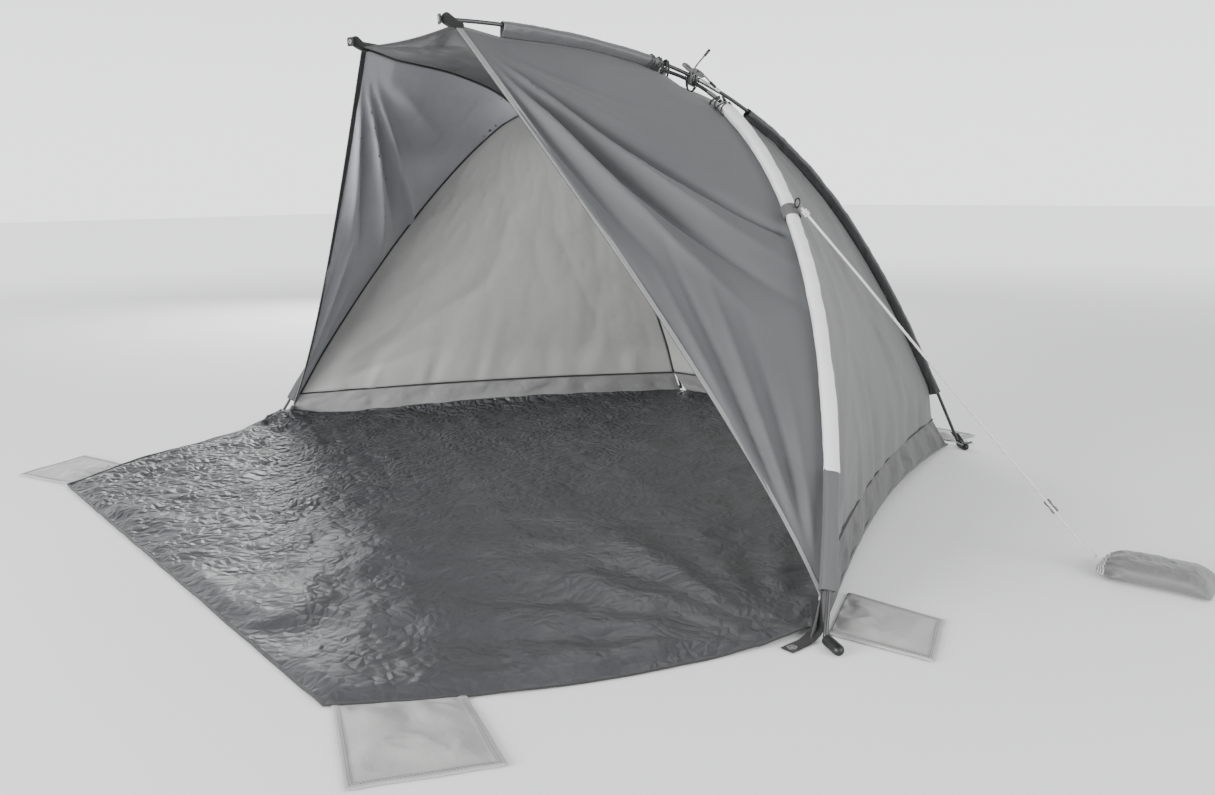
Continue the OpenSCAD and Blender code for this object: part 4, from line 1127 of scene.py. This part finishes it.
for side, flip in sides:
    buildSleeve("archSleeve_" + side, archPole, archDrop, 0.06, 0.318, archSleeveCloth,
                "arch_sleeve_" + side, 61, flip)
    buildSleeve("legSleeve_" + side, archPole, archDrop, 0.016, 0.061, frontOut, None,
                69, flip)
    buildSleeve("frontSleeve_" + side, ridgePole, ridgeDrop, 0.05, 0.247, ridgeSleeveCloth,
                "front_sleeve_" + side, 63, flip)
    buildSleeve("rearSleeve_" + side, ridgePole, ridgeDrop, 0.395, 0.90, rearSleeveCloth,
                "rear_sleeve_" + side, 65, flip)
buildSleeve("crownSleeve", archPole, archDrop, 0.41, 0.59, archSleeveCloth, "crown_sleeve",
            67)
print("sleeves made")


# ---------- groundsheet ----------
ground = {
    "porchWidth": 1.498, "porchDepth": 0.705, "foldLine": 0.040, "sideBow": 0.042,
    "rear": depth - 0.006, "thickness": 0.0014, "grid": (215, 190),
}
sheetFront = halfFront - 0.045


def porchSide(v):
    # side of the porch: straight from the fold to the front corner, bowed outwards by a sine
    a = np.array([sheetFront, -ground["foldLine"]])
    b = np.array([ground["porchWidth"] / 2, -ground["porchDepth"]])
    bow = unit(np.array([ground["porchDepth"] - ground["foldLine"],
                         -(sheetFront - ground["porchWidth"] / 2)]))
    return mixUp(a, b, v[..., None]) + ground["sideBow"] * np.sin(math.pi * v)[..., None] * bow


# beside the canopy the sheet's edge is the hem itself
hemLine = sideHem(np.linspace(1, 0, 120))
floorSide = np.concatenate([[[hemLine[0, 0] - 0.006, ground["rear"]]], hemLine[:-2, :2] - [0.001, 0]])
sideLine = np.concatenate([floorSide, porchSide(np.linspace(0.0, 1, 100))])
run = np.concatenate([[0], np.cumsum(np.linalg.norm(np.diff(sideLine, axis=0), axis=1))])
rowCount, columnCount = ground["grid"]
even = np.linspace(0, run[-1], rowCount)
edgeX, edgeY = np.interp(even, run, sideLine[:, 0]), np.interp(even, run, sideLine[:, 1])
across = np.sin(np.linspace(-1, 1, columnCount) * math.pi / 2 * 0.94) / math.sin(math.pi / 2 * 0.94)
sheetX = edgeX[:, None] * across[None]
sheetY = np.broadcast_to(edgeY[:, None], sheetX.shape)
loose = 0.35 + 0.65 * fade(sheetX, 0.45, -0.55)       # the left part lies loosest
folds = (0.0042 * crumple(sheetX, sheetY, 0.17, 71, 2) + 0.0034 * loose * crumple(sheetX, sheetY, 0.07, 73, 2)
         + 0.0015 * loose * crumple(sheetX, sheetY, 0.034, 75, 1))
long = np.sin(sheetX / 0.09 + 1.8 * latticeNoise(sheetX / 0.4, sheetY / 0.3, 77)) * 0.0018
# long pull lines run from the right foot across the floor
pullX, pullY = sheetX - 1.04, sheetY + 0.03
pullAngle, pullReach = np.arctan2(pullY, -pullX), np.hypot(pullX, pullY)
pulls = 0.0036 * np.sin(pullAngle * 16 + 1.5 * latticeNoise(pullReach / 0.5, pullAngle * 2, 78))
pulls *= fade(pullReach, 0.1, 0.3) * (1 - fade(pullReach, 0.7, 1.5))
sheetZ = 0.0062 + folds + long + pulls
edgeNear = (1 - np.abs(across)[None]) * edgeX[:, None]
hold = fade(edgeNear, 0.0, 0.05)
rowEnd = np.minimum(even, run[-1] - even)[:, None]
hold = hold * fade(rowEnd, 0, 0.05)
sheetZ = mixUp(0.0032 + 0.0016 * latticeNoise(sheetX / 0.06, sheetY / 0.06, 79), sheetZ, hold)
# under the canopy the sides rise to the hem they are sewn to
hemRise = np.interp(sheetY, hemLine[::-1, 1], hemLine[::-1, 2] + 0.0030, left=0, right=0)
sheetZ += hemRise * np.exp(-edgeNear / 0.030)
# at each front foot the sheet is pulled up to the canopy's corner in short folds
for footSide, peak in ((1, 0.012), (-1, 0.050)):
    fromFoot = np.hypot(sheetX - footSide * 1.046, sheetY + 0.012)
    footAngle = np.arctan2(sheetY + 0.012, (sheetX - footSide * 1.046) * footSide)
    ripples = np.sin(footAngle * 9 + 2 * latticeNoise(fromFoot / 0.05, footAngle, 91))
    ripples = 1 + 0.30 * ripples * fade(fromFoot, 0.01, 0.08)
    sheetZ += peak * np.exp(-fromFoot / 0.075) * ripples
# the porch's left side stands up a little towards its front corner
porchLip = fade(sheetY, -0.30, -0.50) * (sheetX < 0)
sheetZ += 0.005 * porchLip * np.exp(-edgeNear / 0.022)
sheetZ = np.maximum(sheetZ, 0.0012)
sheetGrid = np.stack([sheetX, sheetY, sheetZ], axis=-1)
groundSheet = clothSheet("groundSheet", sheetGrid, ground["thickness"], groundLaminate, groundLaminate,
                         (0, 0, -9))
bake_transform(groundSheet)
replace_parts(groundSheet, "floor_sheet", "porch_sheet")


def groundTape(name, line, width, material):
    # tape folded over the sheet's edge
    line = np.asarray(line, float)
    along = unit(np.gradient(line, axis=0))
    inward = unit(np.cross((0, 0, 1), along))
    middle = np.array([0, 0.25, 0])
    inward *= np.sign(((middle - line) * inward).sum(-1).mean())
    piece = carry(name, line + inward * 0.003, inward, np.broadcast_to((0.0, 0, 1), line.shape),
                  tapeProfile(width, 0.0034), material)
    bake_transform(piece)
    return piece


porchRows = np.searchsorted(-edgeY, -0.012)
for side, column in (("right", -1), ("left", 0)):
    groundTape("groundEdge_" + side, sheetGrid[porchRows:, column], 0.007, darkTapeAndPaintedShade)
groundTape("groundEdge_front", sheetGrid[-1], 0.007, darkTapeAndPaintedShade)
groundTape("groundEdge_rear", sheetGrid[0], 0.009, darkTapeAndPaintedShade)
print("groundsheet laid")


# ---------- sand pockets ----------
def buildPocket(name, corners, nodeName, body, seed, flip):
    # a flat pocket between four corners, seam side first: two cloths with a little air between,
    # a hem round three sides and gathers along the seam
    u, v = paramGrid(72, 66)
    seamStart, seamEnd, farEnd, farStart = (np.array(c) for c in corners)
    flatSpot = mixUp(mixUp(seamStart, seamEnd, u[..., None]), mixUp(farStart, farEnd, u[..., None]),
                     v[..., None])
    width, reach = np.linalg.norm(seamEnd - seamStart), np.linalg.norm(farStart - seamStart)
    # the three loose sides are not quite straight
    sag = 0.0035 * latticeNoise(u * 3.2, v * 2.6, seed + 7) * v
    flatSpot = flatSpot + sag[..., None] * np.stack([np.cos(6 * u), np.sin(5 * v + 1)], axis=-1)
    x, y = u * width, v * reach
    inside = np.minimum(np.minimum(u, 1 - u) * width, (1 - v) * reach)
    puff = fade(inside, 0.008, 0.05) * fade(y, 0, 0.03)
    z = 0.0026 + 0.0030 * puff + 0.0042 * puff * crumple(x, y, 0.10, seed, 2)
    z += 0.0008 * latticeNoise(x / 0.03, y / 0.03, seed + 3)
    gathers = np.sin(x / 0.0085 + 1.4 * latticeNoise(x / 0.04, y / 0.1, seed + 5))
    z += 0.0026 * np.exp(-y / 0.045) * gathers * fade(v, 0, 0.05)
    rolls = np.abs(np.sin(x / 0.028 + latticeNoise(x / 0.05, y / 0.05, seed + 6)))
    z += 0.0050 * puff * hump(v, 0.25, 0.22) * rolls
    z += 0.0014 * (fade(inside, 0.013, 0.010) - fade(inside, 0.002, 0.0))
    z = np.maximum(z, 0.0009)
    points = np.concatenate([flatSpot, z[..., None]], axis=-1) * flip
    piece = clothSheet(name, points, 0.0014, pocketCloth, pocketCloth, (0, 0, -9))
    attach(piece, body)
    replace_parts(piece, nodeName)
    rows = []
    for inset in (0.007, 0.0105):
        iu, iv = inset / width, inset / reach
        uu = np.concatenate([np.full(40, iu), np.linspace(iu, 1 - iu, 40), np.full(40, 1 - iu)])
        vv = np.concatenate([np.linspace(0.01, 1 - iv, 40), np.full(40, 1 - iv),
                             np.linspace(1 - iv, 0.01, 40)])
        gi, gj = uu * 71, vv * 65
        i0, j0 = np.clip(gi.astype(int), 0, 70), np.clip(gj.astype(int), 0, 64)
        fi, fj = (gi - i0)[:, None], (gj - j0)[:, None]
        line = mixUp(mixUp(points[i0, j0], points[i0 + 1, j0], fi),
                     mixUp(points[i0, j0 + 1], points[i0 + 1, j0 + 1], fi), fj)
        rows.append(stitchRow("row", line + [0, 0, 0.0009], np.broadcast_to((0, 0, 1.0), line.shape),
                              darkThread))
    stitches = mergeInto(name + "_stitches", rows)
    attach(stitches, body)
    return piece


spotA = porchSide(np.array([0.985]))[0] + [0.0006, 0]
spotB = porchSide(np.array([0.985 - 204 / 770]))[0] + [0.0006, 0]
porchCorners = [spotA, spotB, (1.052, -0.590), (0.962, -0.776)]
sideSeamWay = np.array([math.cos(math.radians(117)), math.sin(math.radians(117))])
sideReachWay = np.array([sideSeamWay[1], -sideSeamWay[0]])
sideStart = np.array([halfFront - 0.017, 0.032])
sideFar = sideStart + 0.172 * sideReachWay
sideCorners = [sideStart, sideStart + 0.184 * sideSeamWay, sideFar + 0.124 * sideSeamWay,
               sideFar - 0.044 * sideSeamWay]
rearStart = np.array([halfRear - 0.034, depth + 0.0335])
rearCorners = [rearStart, rearStart - [0.184, 0], rearStart + [-0.184, 0.112], rearStart + [0, 0.112]]
for side, flip in sides:
    shift = 0 if side == "right" else 1
    buildPocket("porchPocket_" + side, porchCorners, "porch_pocket_" + side, "porch_pocket_" + side,
                81 + shift, flip)
    buildPocket("sidePocket_" + side, sideCorners, "side_pocket_" + side, "side_pocket_" + side,
                85 + shift, flip)
    buildPocket("rearPocket_" + side, rearCorners, "rear_pocket_" + side, "rear_pocket_" + side,
                89 + shift, flip)
print("sand pockets sewn")

# ---------- tabs ----------
tabSpots = {"front": np.array([halfFront - 0.024, -0.054]),
            "rear": np.array([halfRear - 0.006, depth + 0.054])}


def eyeletPlate(name, centre, halfSide, hole, thickness, material):
    # flat webbing round an eyelet: a ring grid from the hole's circle out to a square
    a = np.linspace(0, 2 * math.pi, 65)[:-1]
    outline = halfSide / np.maximum(np.abs(np.cos(a)), np.abs(np.sin(a)))
    r = mixUp(hole, outline, np.linspace(0, 1, 5)[:, None])
    ring = np.stack([centre[0] + r * np.cos(a), centre[1] + r * np.sin(a), centre[2] + 0 * r], axis=-1)
    faces = gridFaces(5, 64, True)
    piece = addMesh(name, ring, faces, ring[..., :2] - np.asarray(centre)[:2])
    piece.data.materials.append(material)
    thicken(piece, thickness, 0)
    recalculate(piece)
    return piece


def footTab(name, top, peg, sign, flip):
    # webbing from the canopy's corner down to the ground, then flat round its eyelet
    flatZ = 0.0022
    plateStart = peg[1] - sign * 0.0124
    points = [top, (mixUp(top[0], peg[0], 0.45), top[1] + sign * 0.010, 0.62 * top[2]),
              (mixUp(top[0], peg[0], 0.9), top[1] + sign * 0.020, 0.26 * top[2]),
              (peg[0], mixUp(top[1] + sign * 0.024, plateStart, 0.55), flatZ + 0.0008),
              (peg[0], plateStart, flatZ)]
    path = smoothPath(points, 50)
    path[:, 2] = np.maximum(path[:, 2], flatZ)
    side = np.broadcast_to((1.0, 0, 0), path.shape)
    up = np.cross(side, unit(np.gradient(path, axis=0)))
    strap = carry(name, path * flip, side * flip, up * flip, tapeProfile(0.025, 0.0020), webbing)
    plate = eyeletPlate(name + "_plate", np.array([peg[0], peg[1], flatZ]) * flip, 0.0125, 0.0057, 0.0020,
                        webbing)
    return [strap, plate]


for end, topSpot, sign in (("front", footCorner + [-0.006, -0.005, -0.006], -1),
                           ("rear", np.array([halfRear - 0.016, depth + 0.004, 0.036]), 1)):
    tabs = []
    for side, flip in sides:
        tabs += footTab("tab", topSpot, tabSpots[end], sign, flip)
    joined = mergeInto(end + "FootTabs", tabs)
    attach(joined, "shelter")
    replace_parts(joined, end + "_foot_tabs")

# boot at each tip: webbing sewn round the cap, from above the pole's end down to the canopy's corner
tipPieces = []
tipAlong = -poleAxes(ridgePole, np.array([0.0]))[0][0]
tipSide = unit(np.cross(tipAlong, (0, 0, 1)))
tipLow, tipHigh = (np.array(c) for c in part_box("tip_eyelets"))
eyeletHeight = (tipLow[2] + tipHigh[2]) / 2
for flip in (np.ones(3), flipX):
    start = ridgeTip + 0.020 * tipAlong + [0, 0, 0.008]
    end = tipCorner - 0.018 * tipAlong - [0, 0, 0.002]
    t = np.linspace(0, 1, 40)
    path = mixUp(start, end, t[:, None]) + 0.004 * np.sin(math.pi * t)[:, None] * np.array([0, 0, -1.0])
    inPlane = unit(np.cross(np.gradient(path, axis=0), tipSide))
    size = np.clip(1 - np.abs(2 * t - 1) ** 6, 0.02, 1) ** 0.5 * mixUp(1.0, 0.62, t)
    bootHalf = np.array([0.0135, 0.0100])
    profile = roundProfile(1.0, 24) * bootHalf
    profile = np.sign(profile) * np.abs(profile / bootHalf) ** 0.7 * bootHalf
    tipPieces.append(carry("tipBoot", path * flip, inPlane * flip,
                           np.broadcast_to(tipSide, path.shape) * flip,
                           profile[None] * size[:, None, None], webbing))
    # upright plate in front of the boot, round the eyelet
    centre = ridgeTip + 0.0254 * tipAlong
    centre[2] = eyeletHeight
    a = np.linspace(0, 2 * math.pi, 49)[:-1]
    outline = 0.0102 / np.maximum(np.abs(np.cos(a)), np.abs(np.sin(a))) ** 0.8
    r = mixUp(0.0046, outline, np.linspace(0, 1, 5)[:, None])
    plate = centre + (r * np.cos(a))[..., None] * tipSide + (r * np.sin(a))[..., None] * np.array([0, 0, 1.0])
    piece = addMesh("tipPlate", plate * flip, gridFaces(5, 48, True),
                    np.stack([r * np.cos(a), r * np.sin(a)], axis=-1))
    piece.data.materials.append(webbing)
    thicken(piece, 0.0020, 0)
    recalculate(piece)
    tipPieces.append(piece)
joined = mergeInto("tipBoots", tipPieces)
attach(joined, "shelter")
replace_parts(joined, "tip_tabs")

for name, finish in (("front_foot_caps", blackCap), ("rear_foot_caps", blackCap), ("tip_caps", blackCap),
                     ("foot_eyelets", eyeletMetal), ("tip_eyelets", eyeletMetal), ("guy_rings", blackCap)):
    nodes[name].data.materials.clear()
    nodes[name].data.materials.append(finish)

# ---------- ties, lacing and guy loops ----------
# lacing: black elastic that zigzags between the pole and the roof seam on both sides of a crossing
lacePieces = []
bowPieces = []
for flip in (np.ones(3), flipX):
    for pole, drop, start, end, turns in ((ridgePole, ridgeDrop, 0.226, 0.262, 3),
                                          (archPole, archDrop, 0.310, 0.330, 2)):
        s = np.linspace(start, end, 2 * turns + 1)
        along, side, out = poleAxes(pole, s)
        odd = (np.arange(len(s)) % 2)[:, None]
        for sign in (1, -1):
            top = pole(s) + 0.0098 * out + sign * 0.004 * side
            low = pole(s) - (drop(s) - 0.001)[:, None] * out + sign * 0.0125 * side
            zig = np.where(odd == 0, low, top)
            middle = (zig[1:] + zig[:-1]) / 2 + sign * 0.0150 * side[1:] * 0.55
            line = np.empty((2 * len(s) - 1, 3))
            line[0::2] = zig
            line[1::2] = middle
            lacePieces.append(rope("lace", line * flip, 0.0046, elastic, 90, 8))
    # crossed elastic under both poles holds the canopy's corner up to the crossing
    under = crossLow - (clothSeat + crossGap) * unit(crossLow - heart)
    alongArch = poleAxes(archPole, np.array([archCross]))[0][0]
    alongRidge = poleAxes(ridgePole, np.array([ridgeCross]))[0][0]
    lift = unit(crossPoint - heart)
    for way in (alongArch, alongRidge, -alongArch, -alongRidge):
        hook = [under + 0.002 * lift, under + 0.010 * way + 0.010 * lift,
                crossLow + 0.016 * way - 0.002 * lift,
                crossLow + 0.017 * way + 0.007 * lift, crossLow + 0.006 * way + 0.009 * lift]
        lacePieces.append(rope("hook", np.array(hook) * flip, 0.0032, elastic, 40, 8))
    # rope turns round both poles, then a bow with two loose ends on top
    knot = crossPoint + 0.0105 * lift
    a = np.linspace(0, 2 * math.pi, 33)
    for way, other in ((alongRidge, alongArch), (alongArch, alongRidge)):
        for shift in (-0.0075, 0.0, 0.0075):
            centre = (crossPoint + crossLow) / 2 + shift * way
            flatSide = unit(np.cross(way, lift))
            turn = centre + 0.0082 * np.cos(a)[:, None] * flatSide + 0.0132 * np.sin(a)[:, None] * lift
            bowPieces.append(rope("turn", turn * flip, 0.0042, tieCord, 48, 8))
    for way, wide in ((alongRidge, 0.026), (-alongRidge, 0.030)):
        loop = [knot, knot + 0.5 * wide * way + 0.007 * lift + 0.009 * alongArch,
                knot + wide * way + 0.004 * lift,
                knot + 0.6 * wide * way - 0.001 * lift - 0.009 * alongArch, knot + 0.001 * lift]
        bowPieces.append(rope("loop", np.array(loop) * flip, 0.0072, tieCord, 56, 10))
    upright = [knot, knot + 0.016 * lift + 0.004 * alongRidge, knot + 0.048 * lift + 0.022 * alongRidge]
    lying = [knot, knot + 0.018 * alongRidge + 0.004 * lift - 0.012 * alongArch,
             knot + 0.040 * alongRidge - 0.004 * lift - 0.018 * alongArch]
    for line in (upright, lying):
        line = np.array(line)
        bowPieces.append(rope("end", line * flip, 0.0038, tieCord, 40, 8))
        away = unit(line[-1] - line[-2])
        aglet = line[-1] + np.array([[-0.004], [0.005], [0.014]]) * away
        bowPieces.append(rope("aglet", aglet * flip, 0.0062, blackCap, 16, 10))
    ring = knot + 0.0050 * (np.cos(a)[:, None] * alongArch + np.sin(a)[:, None] * lift)
    bowPieces.append(rope("knotTurn", ring * flip, 0.0072, tieCord, 50, 10))
laces = mergeInto("crossingLaces", lacePieces)
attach(laces, "shelter")
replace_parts(laces, "junction_hooks")
bows = mergeInto("crossingBows", bowPieces)
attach(bows, "shelter")
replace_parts(bows, "junction_ties")

# guy loops: a strap round each arch sleeve with an ear at the ring
loopPieces = []
for flip in (np.ones(3), flipX):
    s = np.linspace(guy["loopShare"] - 0.0037, guy["loopShare"] + 0.0037, 9)
    along, side, out = poleAxes(archPole, s)
    a = np.linspace(0, 2 * math.pi, 73)[:-1]
    wide, high = 0.0166, 0.0100
    ring = np.stack([wide * np.sign(np.cos(a)) * np.abs(np.cos(a)) ** 0.8, high * np.sin(a)], axis=1)
    ring[:, 1] = np.where(ring[:, 1] < 0, ring[:, 1] * 1.9, ring[:, 1])
    ring[:, 0] = np.where(ring[:, 1] < 0, ring[:, 0] * (1 - 0.45 * (ring[:, 1] / -0.019) ** 2), ring[:, 0])
    band = carry("guyLoop", archPole(s) * flip, side * flip, out * flip, ring, greyWebbing, caps=False)
    thicken(band, 0.0016, 1)
    loopPieces.append(band)
loops = mergeInto("guyLoops", loopPieces)
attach(loops, "shelter")
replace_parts(loops, "guy_loops")
print("tabs, lacing and loops made")

# ---------- floor and light ----------
floorMaterial, tree, shader = newMaterial("paleFloor")
shader.inputs["Base Color"].default_value = (0.93, 0.93, 0.93, 1)
shader.inputs["Roughness"].default_value = 0.9
# far from the tent the floor goes over into the light of the horizon
away = node(tree, "ShaderNodeVectorMath", operation="LENGTH")
tree.links.new(node(tree, "ShaderNodeTexCoord").outputs["Object"], away.inputs[0])
far = node(tree, "ShaderNodeMapRange", {"From Min": 2.5, "From Max": 9.0, "To Max": 0.9},
           interpolation_type="SMOOTHSTEP", Value=away.outputs["Value"])
shader.inputs["Emission Color"].default_value = (0.97, 0.98, 1.0, 1)
tree.links.new(far.outputs["Result"], shader.inputs["Emission Strength"])
floor = addMesh("studioFloor", [(-30, -30, -0.0006), (30, -30, -0.0006), (30, 30, -0.0006),
                                (-30, 30, -0.0006)], [[0, 1, 2, 3]])
floor.data.materials.append(floorMaterial)

world = bpy.data.worlds.new("studio")
bpy.context.scene.world = world
world.use_nodes = True
sky = world.node_tree
background = sky.nodes["Background"]
# bright towards the horizon, softer overhead
heading = node(sky, "ShaderNodeTexCoord")
split = node(sky, "ShaderNodeSeparateXYZ", Vector=heading.outputs["Generated"])
level = node(sky, "ShaderNodeMapRange", {"From Min": 0.02, "From Max": 0.75, "To Min": 2.2, "To Max": 0.60},
             interpolation_type="SMOOTHSTEP", Value=split.outputs["Z"])
background.inputs["Color"].default_value = (0.97, 0.98, 1.0, 1)
sky.links.new(level.outputs["Result"], background.inputs["Strength"])


def softBox(name, place, target, size, power):
    light = bpy.data.lights.new(name, "AREA")
    light.shape = "RECTANGLE"
    light.size, light.size_y = size
    light.energy = power
    lamp = bpy.data.objects.new(name, light)
    aim = (Vector(target) - Vector(place)).to_track_quat("-Z", "Y")
    lamp.matrix_world = Matrix.Translation(place) @ aim.to_matrix().to_4x4()
    lamp.visible_camera = False
    bpy.context.scene.collection.objects.link(lamp)


softBox("rightBox", (4.6, 0.4, 1.4), (0.6, 0.3, 0.5), (2.4, 2.0), 130)
softBox("frontBox", (0.4, -4.4, 1.0), (0.1, 0.4, 0.5), (2.8, 1.6), 330)
softBox("leftBack", (-3.6, 2.2, 1.6), (-0.6, -0.6, 0.0), (2.6, 1.2), 110)
# daylight that comes through the cloth overhead
softBox("clothGlow", (0.0, 0.42, 0.86), (0.0, 0.50, 0.0), (0.7, 0.5), 3.0)
print("floor and lights set")
